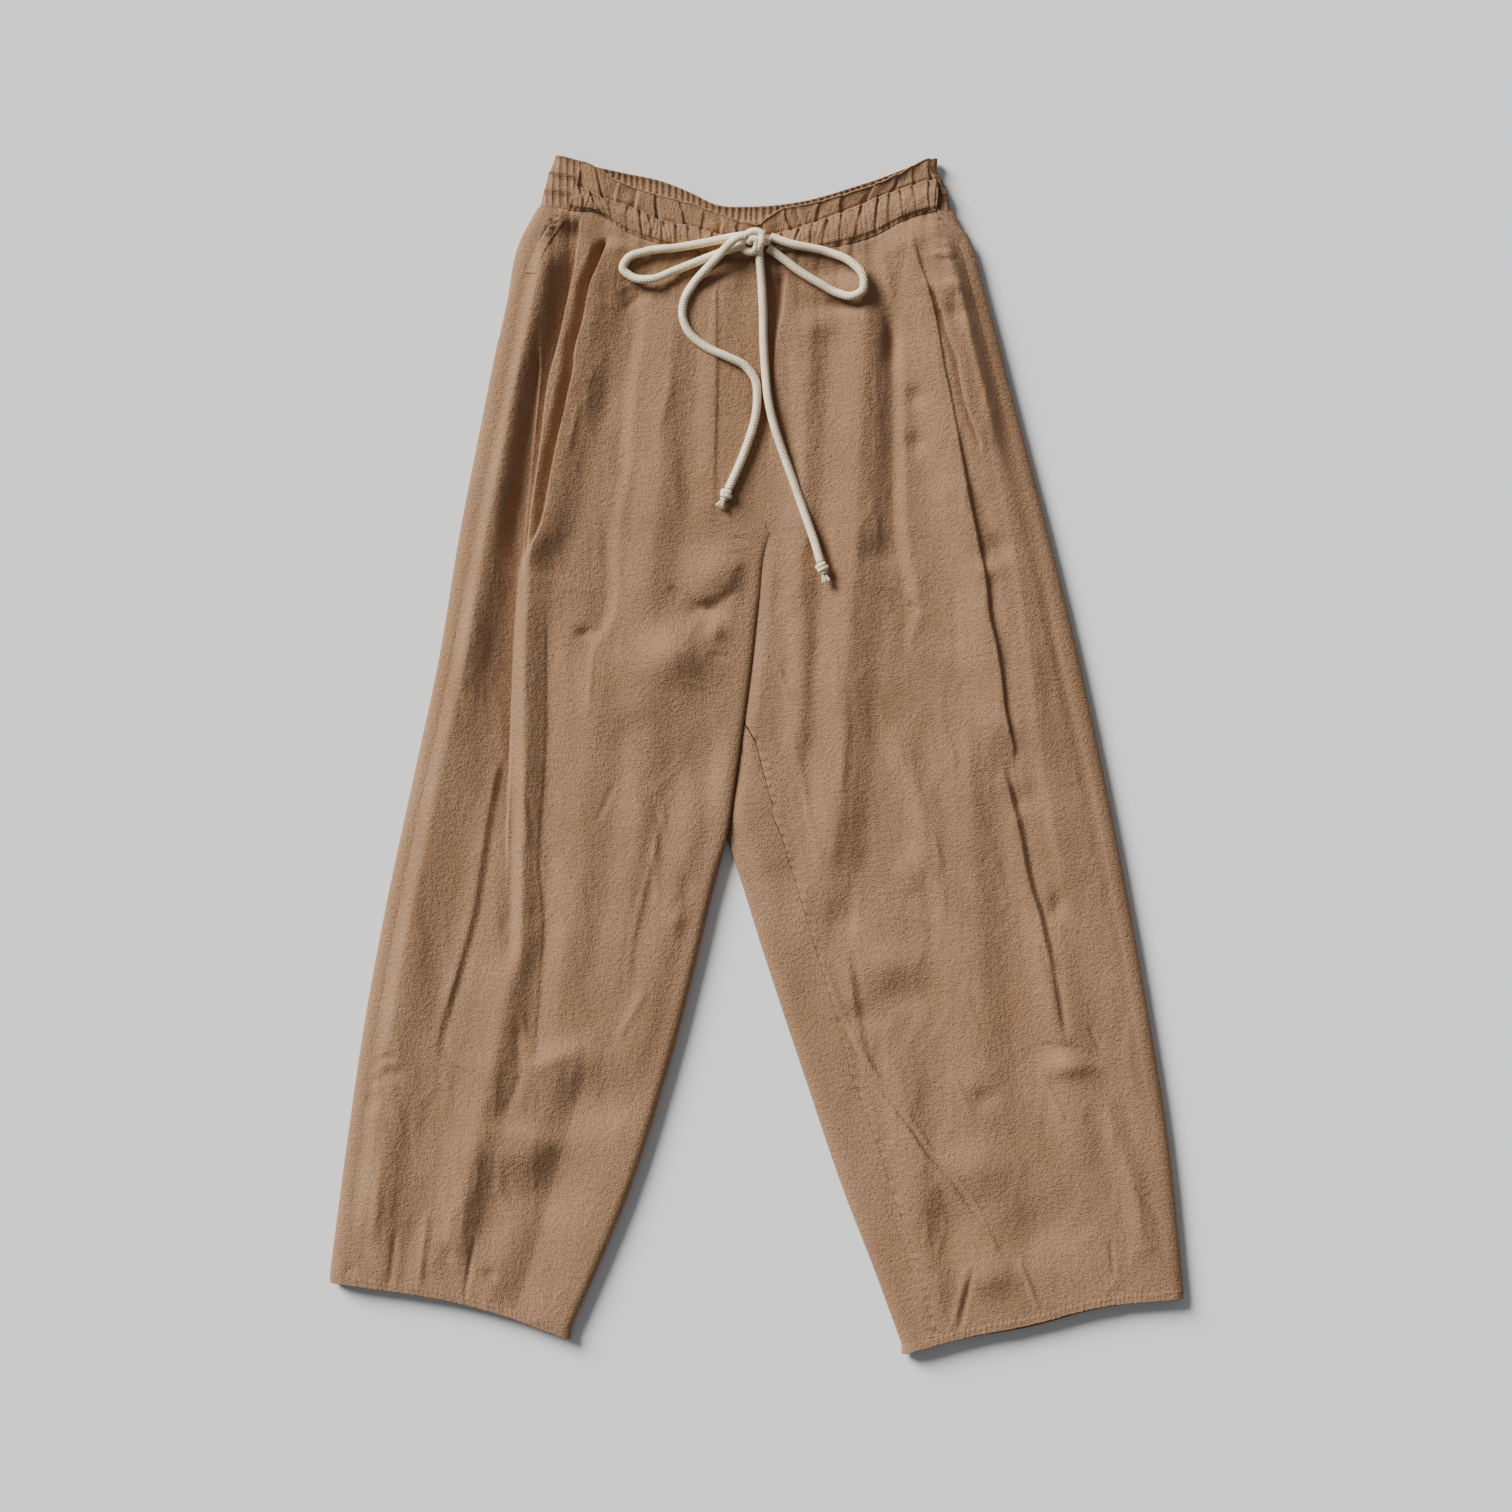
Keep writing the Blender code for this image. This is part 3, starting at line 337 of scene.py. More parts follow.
class Relief:
    """Height of the front of the garment, over the legs."""

    @staticmethod
    def folds(x: Array, y: Array) -> Array:
        """Sum the pleats and dents.

        A side of a pleat that swells is half a cosine, and one that rolls under is a quarter circle that
        ends upright on the line. Each pleat fades at both of its ends, and a dent is a bell.

        Args:
            x, y: Places on the front.

        Returns:
            The height over the level cloth.
        """
        total = np.zeros(np.broadcast(x, y).shape)
        for pleat in PLEATS:
            offset = x - read_curve(pleat.line, y)
            top, foot = pleat.line[0][0], pleat.line[-1][0]
            along = smooth((top + pleat.start / 2 - y) / pleat.start) * smooth((y - foot + pleat.end / 2) / pleat.end)
            for sign, height, reach in ((-1, pleat.left, pleat.left_reach), (1, pleat.right, pleat.right_reach)):
                away = np.clip(sign * offset / reach, 0, 1)
                swell = (1 + np.cos(math.pi * away)) / 2
                shape = 1 - np.sqrt(1 - (1 - away) ** 2) if height < 0 else swell
                total += height * along * (0.35 * shape + 0.65 * swell) * smooth(0.5 + sign * offset / pleat.step)
        for dent in DENTS:
            away = ((x - dent.x) / dent.across) ** 2 + ((y - dent.y) / dent.along) ** 2
            total += dent.depth * np.exp(-1.5 * away)
        return total

    @staticmethod
    def creases(x: Array, y: Array) -> Array:
        """Sum the creases: a bell across the nearest point of each line, thinning to nothing at its ends."""
        total = np.zeros(np.broadcast(x, y).shape)
        for crease in CREASES:
            points = np.array(crease.points, float)
            runs = np.linalg.norm(np.diff(points, axis=0), axis=1)
            reached = np.concatenate(([0], np.cumsum(runs)))
            best = np.full(total.shape, 1e9)
            along = np.zeros(total.shape)
            for start, end, run, before in zip(points[:-1], points[1:], runs, reached[:-1]):
                t = np.clip(((x - start[0]) * (end[0] - start[0]) + (y - start[1]) * (end[1] - start[1])) / run**2, 0, 1)
                away = np.hypot(x - start[0] - t * (end[0] - start[0]), y - start[1] - t * (end[1] - start[1]))
                along = np.where(away < best, (before + t * run) / reached[-1], along)
                best = np.minimum(best, away)
            taper = np.sqrt(np.clip(4 * along * (1 - along), 0, 1)) * 0.85 + 0.15
            total += crease.height * taper * np.exp(-((best / crease.width) ** 2))
        return total

    @staticmethod
    def seam(x: Array, y: Array, line: Rows, pitch: float, pucker: float, painted_groove_shade: float) -> Array:
        """A sewn line: a thin groove with puckers beside it, a sine along the line under a bell across it."""
        away = (x - read_curve(line, y)) * 0.94
        inside = smooth((y - line[-1][0] + 6) / 8) * smooth((line[0][0] + 6 - y) / 8)
        step = y / pitch + 0.55 * noise(y / 19, y * 0, 5)
        beside = np.exp(-(((np.abs(away) - 1.8) / 3.4) ** 2)) * np.sin(2 * math.pi * step + 0.5 * np.sign(away))
        return inside * (pucker * (beside - 0.25 * np.exp(-((away / 6) ** 2))) - painted_groove_shade * np.exp(-((away / 0.9) ** 2)))

    @staticmethod
    def gathers(x: Array, y: Array) -> Array:
        """Small tucks under the casing: the fold of a sine of a warped x, dying away down the leg."""
        below = np.maximum(read_curve(CASING_FOOT, x) - y, 0)
        wide = np.abs(np.sin(math.pi * (x / 19 + 0.9 * noise(x / 30, below / 160, 11))))
        narrow = np.abs(np.sin(math.pi * (x / 7.5 + 1.1 * noise(x / 21, below / 60, 12))))
        return (1.5 * (wide - 0.6) * np.exp(-below / 55) + 0.9 * (narrow - 0.6) * np.exp(-below / 13)
                - 1.2 * np.exp(-((below / 1.6) ** 2)))

    @classmethod
    def main(cls, x: Array, y: Array) -> Array:
        """Height of the front with its main folds above the ground, eased off where it nears the back."""
        below = read_curve(CASING_FOOT, x) - y
        level = LOFT + FOLD_GAIN * cls.folds(x, y) * smooth((below + 5) / FOLD_START)
        return LOWEST + 1.5 * np.logaddexp(0, (level - LOWEST) / 1.5)

    @classmethod
    def front(cls, x: Array, y: Array) -> Array:
        """Height of the front with its folds, creases, seams, gathers and crumple."""
        detail = cls.creases(x, y) + cls.gathers(x, y) + crumple(x, y, 3)
        detail += cls.seam(x, y, INSEAM_LINE, 8.2, 0.75, 1.1)
        detail += cls.seam(x, y, POCKET_LINE_RIGHT, 6.4, 0.6, 1.0)
        detail += cls.seam(x, y, POCKET_LINE_LEFT, 6.0, 0.5, 1.0)
        detail += cls.seam(x, y, CENTRE_LINE, 9.0, 0.35, 1.5)
        return cls.main(x, y) + detail


@dataclass
class Rolls:
    """Rolled edges of many sections at once: each field has one value a section, as a column."""

    x: Array
    inward: float
    width: Array
    top: Array
    under: Array
    inset: Array
    blend: float

    def __post_init__(self) -> None:
        """Work out the half height, the distance round a quarter of the roll, and the seam's place round it."""
        self.half = (self.top - self.under) / 2
        self.quarter = 0.8 * (self.width + self.half)
        size = np.abs(self.inset)
        share = np.minimum(size / np.maximum(self.width, 1e-6), 1)
        share = share**2 / (share + 0.2 * (1 - share))
        around = np.where(size >= self.width, self.quarter + size - self.width,
                          self.quarter * np.arccos(1 - share) / (math.pi / 2))
        self.seam = np.copysign(around, self.inset)

    def place(self, girth: Array) -> tuple[Array, Array]:
        """Inset and height of points at signed distances round the roll, positive on top."""
        turn = np.clip(girth / np.maximum(self.quarter, 1e-6), -1, 1) * math.pi / 2
        inset = self.width * (1 - np.cos(turn)) + np.maximum(np.abs(girth) - self.quarter, 0)
        return inset, self.under + self.half * (1 + np.sin(turn))


Height = Callable[[Array, Array], Array]


def crowd(weight: Array, fine: Array, count: int) -> Array:
    """Columns that crowd where the weight is large, one row at a time by one interpolation over all rows.

    Args:
        weight: Weight at each fine position, a row a section.
        fine: The fine positions, increasing along each row.
        count: Number of columns wanted.

    Returns:
        Positions, a row a section, with the same share of the summed weight between neighbours. The weight
        is averaged over 31 sections first, so that the columns run smoothly along the leg.
    """
    share = np.hanning(33)[1:-1]
    padded = np.pad(weight, ((15, 15), (0, 0)), mode="edge")
    weight = sum(part * padded[i:i + len(weight)] for i, part in enumerate(share / share.sum()))
    total = np.cumsum(weight, axis=1)
    total = (total - total[:, :1]) / (total[:, -1:] - total[:, :1])
    step = 2 * np.arange(len(fine))[:, None]
    wanted = np.linspace(0, 1, count)[None] + step
    low = fine.min()
    span = fine.max() - low + 1
    lifted = np.interp(wanted.ravel(), (total + step).ravel(), (fine - low + step * span).ravel())
    return lifted.reshape(wanted.shape) - step * span + low


def sections(first: Rolls, second: Rolls, side: int, y_at: Height, columns: int, height: Height,
             guide: Height | None = None, gap: float = SEAM) -> Array:
    """Grid of a piece of a flattened tube, from its seam on the first edge to its seam on the second.

    A point goes a distance round the section: up the first rolled edge, which is a quarter ellipse on each
    side of the silhouette, over the flat, and down the second. Its height on the flat is given by x and y.

    Args:
        first, second: The rolled edges.
        side: 1 for a piece over the top, -1 for one underneath.
        y_at: Gives y from x and from which points are on top.
        columns: Number of columns.
        height: Height of the flat from x and y.
        guide: Height that the columns crowd along, or None for even columns.
        gap: Gap at each seam.

    Returns:
        Points in millimetres, sections by columns by 3.
    """
    length = first.quarter + second.quarter + (second.x - first.x) * first.inward - first.width - second.width
    start = side * first.seam + gap / 2
    stop = length - side * second.seam - gap / 2

    def points(s: Array, over: Height) -> Array:
        """Places of points at distances s round each section, with the flat at this height."""
        near = s < length / 2
        girth = np.where(near, s, length - s) * side
        inset_1, z_1 = first.place(girth)
        inset_2, z_2 = second.place(girth)
        x = np.where(near, first.x + first.inward * inset_1, second.x + second.inward * inset_2)
        quarter = np.where(near, first.quarter, second.quarter)
        y = y_at(x, girth > 0)
        flat = over(x, y)
        for roll in (first, second):
            inset = (x - roll.x) * roll.inward
            flat = roll.top + (flat - roll.top) * smooth((inset - roll.width * 0.75) / roll.blend)
        under = np.where(near, z_1, z_2) * (1 - smooth((np.abs(girth) - quarter) / 25))
        z = np.where(girth > quarter, flat, np.where(girth < -quarter, under, np.where(near, z_1, z_2)))
        return np.stack([x, y, z], axis=-1)

    if guide is None:
        return points(start + (stop - start) * np.linspace(0, 1, columns), height)
    fine = start + (stop - start) * np.linspace(0, 1, 4 * columns)
    rough = points(fine, guide)
    gap_s = (stop - start) / (4 * columns - 1)
    slope = np.gradient(rough[..., 2], axis=1) / gap_s
    bend = np.gradient(slope, axis=1) / gap_s
    weight = 0.45 + np.minimum(np.abs(slope), 1.6) + np.minimum(2 * np.abs(bend), 1.6)
    return points(crowd(weight, fine, columns), height)


@dataclass
class Leg:
    """One leg, read from its outline, seam and roll tables."""

    outer: Rows
    inner: Rows
    outseam: Rows
    inseam: Rows
    rolls: Sequence[Roll]
    hem: Rows
    hem_drop: float
    inward: int

    def __post_init__(self) -> None:
        """Span of the leg along its outer and its inner edge, from the waist to just above the hem."""
        ends = sorted(self.hem, key=lambda row: row[0] * self.inward)
        self.outer_span = (self.outer[0][0], ends[0][1] + HEM_HEIGHT)
        self.inner_span = (self.inner[0][0], ends[-1][1] + HEM_HEIGHT)

    def edges(self, v: Array, rolls: Sequence[Roll] | None = None) -> tuple[Rolls, Rolls, Array, Array]:
        """Outer and inner rolled edge at fractions v of the leg, and the y of each.

        Args:
            v: Fractions from the waist to the hem, as a column.
            rolls: Rolls of the inner edge, where they aren't the leg's own.

        Returns:
            Outer rolls, inner rolls, y at the outer edge and y at the inner edge.
        """
        y_outer = self.outer_span[0] + v * (self.outer_span[1] - self.outer_span[0])
        y_inner = self.inner_span[0] + v * (self.inner_span[1] - self.inner_span[0])
        level = np.ones_like(v)
        outer = Rolls(read_curve(self.outer, y_outer), self.inward, 12 * level, LOFT * level, 0 * level,
                      read_line(self.outseam, y_outer), 16)
        width, top, under = (read_line([(r.y, r[i]) for r in rolls or self.rolls], y_inner) for i in (1, 2, 3))
        inner = Rolls(read_curve(self.inner, y_inner), -self.inward, width, top, under,
                      read_line(self.inseam, y_inner), 20)
        return outer, inner, y_outer, y_inner

    def y_at(self, v: Array, shift: Array | float = 0.0, tucked: float = 0.0) -> Height:
        """Function that gives y across the sections: level lines bent to the waist and hem curves.

        Args:
            v: Fractions from the waist to the hem, as a column.
            shift: Distance along the leg from those lines.
            tucked: Distance that the front reaches up under the casing.

        Returns:
            The function, of x and of which points are on top.
        """
        outer, inner, y_outer, y_inner = self.edges(v)
        top_outer, top_inner, _, _ = self.edges(0 * v)
        foot_outer, foot_inner, _, _ = self.edges(0 * v + 1)

        def read(x: Array, on_top: Array) -> Array:
            """Give y at x, for points on top or underneath."""
            f = np.clip((x - outer.x) / (inner.x - outer.x), 0, 1)
            x_top = top_outer.x + f * (top_inner.x - top_outer.x)
            x_foot = foot_outer.x + f * (foot_inner.x - foot_outer.x)
            line_top = self.outer_span[0] + f * (self.inner_span[0] - self.outer_span[0])
            line_foot = self.outer_span[1] + f * (self.inner_span[1] - self.outer_span[1])
            waist = np.where(on_top, read_curve(CASING_FOOT, x_top) + tucked, read_curve(BACK_FOOT, x_top))
            drop = np.where(on_top, 0, self.hem_drop * np.sin(math.pi * f))
            hem = read_curve(self.hem, x_foot) + HEM_HEIGHT - drop
            return (y_outer + f * (y_inner - y_outer) + (waist - line_top) * (1 - v) ** 2
                    + (hem - line_foot) * v**3 + shift)

        return read


RIGHT = Leg(OUTER_RIGHT, INNER_RIGHT, OUTSEAM_RIGHT, INSEAM_RIGHT, INNER_ROLLS_RIGHT, HEM_RIGHT, 1.0, 1)
LEFT = Leg(OUTER_LEFT, INNER_LEFT, OUTSEAM_LEFT, INSEAM_LEFT, INNER_ROLLS_LEFT, HEM_LEFT, HEM_DROP_LEFT, -1)


class Tone(Enum):
    """Colours of the finishes, as sRGB hex."""

    CLOTH = "#997556"
    CLOTH_WORN = "#A48061"
    CLOTH_DEEP = "#6E523C"
    THREAD = "#B0875F"
    CORD = "#FCEDCF"
    CORD_SHADE = "#BD9F70"
    GROUND = "#EBEBEB"


def linear(tone: Tone) -> tuple[float, float, float, float]:
    """Turn an sRGB hex colour to Blender's linear one, by the sRGB curve."""
    parts = [int(tone.value[i:i + 2], 16) / 255 for i in (1, 3, 5)]
    return (*(c / 12.92 if c <= 0.04045 else ((c + 0.055) / 1.055) ** 2.4 for c in parts), 1.0)


def add_node(material: bpy.types.Material, kind: str, inputs: dict | None = None, **settings: object) -> bpy.types.Node:
    """Add a node to a material's tree.

    Args:
        material: The material.
        kind: The node's type.
        inputs: Value or linked output socket for each input, by name or number.
        settings: The node's own properties.

    Returns:
        The node.
    """
    node = material.node_tree.nodes.new(kind)
    for name, value in settings.items():
        setattr(node, name, value)
    for key, value in (inputs or {}).items():
        if isinstance(value, bpy.types.NodeSocket):
            material.node_tree.links.new(value, node.inputs[key])
        else:
            node.inputs[key].default_value = value
    return node


def new_material(name: str) -> tuple[bpy.types.Material, bpy.types.Node]:
    """Make a material with only its Principled shader, and give both."""
    material = bpy.data.materials.new(name)
    material.use_nodes = True
    return material, material.node_tree.nodes["Principled BSDF"]


@dataclass(frozen=True)
class WashedCotton:
    """Plain-woven cotton, garment-dyed and washed: matt and a little fuzzy, paler where it is worn.

    Attributes:
        thread: Thread spacing in metres, drawn three times as coarse as the real 0.4 mm, which would not show.
        crinkle: Size of the finest crinkles in metres.
        depth: Depth of the crinkles in metres.
    """

    thread: float = 0.0012
    crinkle: float = 0.0032
    depth: float = 0.0017

    def material(self, name: str) -> bpy.types.Material:
        """Build the cloth's material on the piece's own UV map, which is in metres."""
        material, shader = new_material(name)
        place = add_node(material, "ShaderNodeTexCoord").outputs["UV"]
        fade = add_node(material, "ShaderNodeTexNoise", {"Vector": place, "Scale": 11.0, "Detail": 3.0, "Roughness": 0.6})
        drawn = add_node(material, "ShaderNodeMapping", {"Vector": place, "Scale": (1 / 0.0011, 1 / 0.0042, 1.0)})
        slub = add_node(material, "ShaderNodeTexNoise", {"Vector": drawn.outputs[0], "Scale": 1.0, "Detail": 2.0})
        pale = add_node(material, "ShaderNodeMapRange", {"Value": fade.outputs["Fac"], "From Min": 0.35, "From Max": 0.7})
        base = add_node(material, "ShaderNodeMix", {"Factor": pale.outputs[0], "A": linear(Tone.CLOTH),
                                                    "B": linear(Tone.CLOTH_WORN)}, data_type="RGBA")
        fleck = add_node(material, "ShaderNodeMapRange", {"Value": slub.outputs["Fac"], "From Min": 0.3, "From Max": 0.7,
                                                          "To Min": 0.0, "To Max": 0.5})
        mixed = add_node(material, "ShaderNodeMix", {"Factor": fleck.outputs[0], "A": base.outputs["Result"],
                                                     "B": linear(Tone.CLOTH_DEEP)}, data_type="RGBA")
        crinkle = add_node(material, "ShaderNodeTexNoise", {"Vector": place, "Scale": 1 / self.crinkle, "Detail": 4.0,
                                                            "Roughness": 0.62})
        weave = add_node(material, "ShaderNodeMapping", {"Vector": place, "Scale": (1 / self.thread, 1 / self.thread, 1)})
        yarn = add_node(material, "ShaderNodeTexNoise", {"Vector": weave.outputs[0], "Scale": 1.0, "Detail": 1.0})
        coarse = add_node(material, "ShaderNodeBump", {"Strength": 0.9, "Distance": self.depth,
                                                       "Height": crinkle.outputs["Fac"]})
        fine = add_node(material, "ShaderNodeBump", {"Strength": 0.8, "Distance": 0.0011, "Height": yarn.outputs["Fac"],
                                                     "Normal": coarse.outputs[0]})
        shader.inputs["Roughness"].default_value = 0.93
        shader.inputs["Specular IOR Level"].default_value = 0.25
        shader.inputs["Sheen Weight"].default_value = 0.06
        shader.inputs["Sheen Roughness"].default_value = 0.45
        shader.inputs["Sheen Tint"].default_value = (1.0, 0.9, 0.8, 1.0)
        material.node_tree.links.new(mixed.outputs["Result"], shader.inputs["Base Color"])
        material.node_tree.links.new(fine.outputs[0], shader.inputs["Normal"])
        return material


@dataclass(frozen=True)
class BraidedCotton:
    """Undyed cotton braid, tubular, unwaxed: soft and matt, with painted shade for the grooves between its strands.

    Attributes:
        tone: Colour of the yarn.
        painted_groove_shade: Darker colour mixed in as painted shade for the grooves between strands.
        pitch: Length of one crossing of strands in metres.
    """

    tone: Tone = Tone.CORD
    painted_groove_shade: Tone = Tone.CORD_SHADE
    pitch: float = 0.0024

    def material(self, name: str) -> bpy.types.Material:
        """Build the yarn's material: fine fibres on Object coordinates, a little darker in patches where painted shade
        is mixed in.
        """
        material, shader = new_material(name)
        place = add_node(material, "ShaderNodeTexCoord").outputs["Object"]
        patch_noise = add_node(material, "ShaderNodeTexNoise", {"Vector": place, "Scale": 60.0, "Detail": 2.0})
        fibre = add_node(material, "ShaderNodeTexNoise", {"Vector": place, "Scale": 1 / self.pitch * 2.4, "Detail": 3.0})
        both = add_node(material, "ShaderNodeMath", {0: patch_noise.outputs["Fac"], 1: fibre.outputs["Fac"]}, operation="MULTIPLY")
        share = add_node(material, "ShaderNodeMapRange", {"Value": both.outputs[0], "From Min": 0.12, "From Max": 0.42,
                                                          "To Min": 0.55, "To Max": 0.0})
        # Painted shade: the yarn's colour is mixed towards a darker one in noise patches, standing in for shade between
        # strands.
        mixed = add_node(material, "ShaderNodeMix", {"Factor": share.outputs[0], "A": linear(self.tone),
                                                     "B": linear(self.painted_groove_shade)}, data_type="RGBA")
        bump = add_node(material, "ShaderNodeBump", {"Strength": 0.6, "Distance": 0.0002, "Height": fibre.outputs["Fac"]})
        shader.inputs["Roughness"].default_value = 0.85
        shader.inputs["Specular IOR Level"].default_value = 0.3
        shader.inputs["Sheen Weight"].default_value = 0.3
        material.node_tree.links.new(mixed.outputs["Result"], shader.inputs["Base Color"])
        material.node_tree.links.new(bump.outputs[0], shader.inputs["Normal"])
        return material


@dataclass(frozen=True)
class PaintedBoard:
    """Matt painted board under the garment: pale neutral grey with the faintest unevenness."""

    tone: Tone = Tone.GROUND

    def material(self, name: str) -> bpy.types.Material:
        """Build the board's material on Object coordinates."""
        material, shader = new_material(name)
        place = add_node(material, "ShaderNodeTexCoord").outputs["Object"]
        grain = add_node(material, "ShaderNodeTexNoise", {"Vector": place, "Scale": 90.0, "Detail": 2.0})
        bump = add_node(material, "ShaderNodeBump", {"Strength": 0.1, "Distance": 0.0002, "Height": grain.outputs["Fac"]})
        shader.inputs["Base Color"].default_value = linear(self.tone)
        shader.inputs["Roughness"].default_value = 0.95
        shader.inputs["Specular IOR Level"].default_value = 0.1
        material.node_tree.links.new(bump.outputs[0], shader.inputs["Normal"])
        return material


def grid_mesh(name: str, points: Array, ring: bool = False, caps: bool = False, flip: bool = False) -> bpy.types.Object:
    """Make a mesh object from a grid of points in millimetres, with a UV map of its lengths in metres.

    Args:
        name: The object's name.
        points: Rows by columns by 3.
        ring: Whether the last column joins the first.
        caps: Whether the first and last rows of a ring are closed.
        flip: Whether the faces are turned over.

    Returns:
        The object, linked to the scene.
    """
    rows, columns = points.shape[:2]
    i, j = np.meshgrid(np.arange(rows - 1), np.arange(columns if ring else columns - 1), indexing="ij")
    k = (j + 1) % columns
    quads = np.stack([i * columns + j, (i + 1) * columns + j, (i + 1) * columns + k, i * columns + k], axis=-1)
    quads = quads.reshape(-1, 4)[:, ::-1 if flip else 1]
    faces = quads.tolist()
    if caps:
        first, last = list(range(columns)), list(range((rows - 1) * columns, rows * columns))
        faces += [first[::-1], last] if flip else [first, last[::-1]]
    mesh = bpy.data.meshes.new(name)
    mesh.from_pydata((points.reshape(-1, 3) * MM).tolist(), [], faces)
    across = np.concatenate([np.zeros((rows, 1)), np.cumsum(np.linalg.norm(np.diff(points, axis=1), axis=2), axis=1)], axis=1)
    along = np.concatenate([np.zeros((1, columns)), np.cumsum(np.linalg.norm(np.diff(points, axis=0), axis=2), axis=0)])
    across -= across[:, columns // 2:columns // 2 + 1]
    uv = np.stack([across + points[:, columns // 2, 0][:, None], -along[:, columns // 2][:, None] + 0 * across], axis=-1)
    corner = np.empty(len(mesh.loops), dtype=np.int32)
    mesh.loops.foreach_get("vertex_index", corner)
    layer = mesh.uv_layers.new(name="cloth")
    layer.data.foreach_set("uv", (uv.reshape(-1, 2)[corner] * MM).ravel())
    mesh.shade_smooth()
    item = bpy.data.objects.new(name, mesh)
    bpy.context.scene.collection.objects.link(item)
    return item


def thicken(item: bpy.types.Object, wall: float) -> None:
    """Give an open surface a wall of this many millimetres, inwards from its outer face."""
    solid = item.modifiers.new("wall", "SOLIDIFY")
    solid.thickness = wall * MM
    solid.offset = -1


def dress(item: bpy.types.Object, material: bpy.types.Material, slot: str, *nodes: str) -> bpy.types.Object:
    """Give a piece its material and its body, and hide the nodes that it replaces."""
    item.data.materials.append(material)
    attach(item, "root")
    if nodes:
        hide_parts(*nodes)
    LOG.info("%s: %d faces", item.name, len(item.data.polygons))
    return item


def stitch_row(name: str, path: Array, pitch: float, length: float, thick: float) -> bpy.types.Object:
    """Make a row of stitches: the same small spindle, turned and placed along a path, as one mesh.

    Each spindle is a sphere drawn out along the path, sunk by half into the cloth.

    Args:
        name: The object's name.
        path: Points on the cloth in millimetres.
        pitch: Distance from stitch to stitch.
        length: Length of a stitch.
        thick: Its diameter.

    Returns:
        The object.
    """
    reach = np.concatenate(([0], np.cumsum(np.linalg.norm(np.diff(path, axis=0), axis=1))))
    at = np.arange(pitch / 2, reach[-1], pitch)
    centre = np.stack([np.interp(at, reach, path[:, k]) for k in range(3)], axis=-1)
    ahead = np.stack([np.interp(at + 0.4, reach, path[:, k]) for k in range(3)], axis=-1) - centre
    ahead /= np.maximum(np.linalg.norm(ahead, axis=1, keepdims=True), 1e-9)
    up = np.array([0, 0, 1.0]) + 0 * ahead
    side = np.cross(up, ahead)
    theta = np.linspace(0, 2 * math.pi, 7)[:-1]
    phi = np.linspace(-1, 1, 5)
    radius = np.sqrt(np.maximum(1 - phi**2, 0.02))
    local = np.stack([phi[:, None] * length / 2 + 0 * theta, radius[:, None] * np.cos(theta) * thick / 2,
                      radius[:, None] * np.sin(theta) * thick / 2 + 0.1 * thick], axis=-1).reshape(-1, 3)
    points = (centre[:, None] + local[None, :, :1] * ahead[:, None] + local[None, :, 1:2] * side[:, None]
              + local[None, :, 2:] * up[:, None])
    ring, turn = len(phi), len(theta)
    i, j = np.meshgrid(np.arange(ring - 1), np.arange(turn), indexing="ij")
    quad = np.stack([i * turn + j, i * turn + (j + 1) % turn, (i + 1) * turn + (j + 1) % turn, (i + 1) * turn + j], -1)
    quads = (quad.reshape(1, -1, 4) + np.arange(len(centre))[:, None, None] * ring * turn).reshape(-1, 4)
    ends = np.stack([np.arange(turn)[::-1], np.arange(turn) + (ring - 1) * turn])
    ends = (ends[None] + np.arange(len(centre))[:, None, None] * ring * turn).reshape(-1, turn)
    mesh = bpy.data.meshes.new(name)
    mesh.from_pydata((points.reshape(-1, 3) * MM).tolist(), [], quads.tolist() + ends.tolist())
    mesh.shade_smooth()
    item = bpy.data.objects.new(name, mesh)
    bpy.context.scene.collection.objects.link(item)
    return item


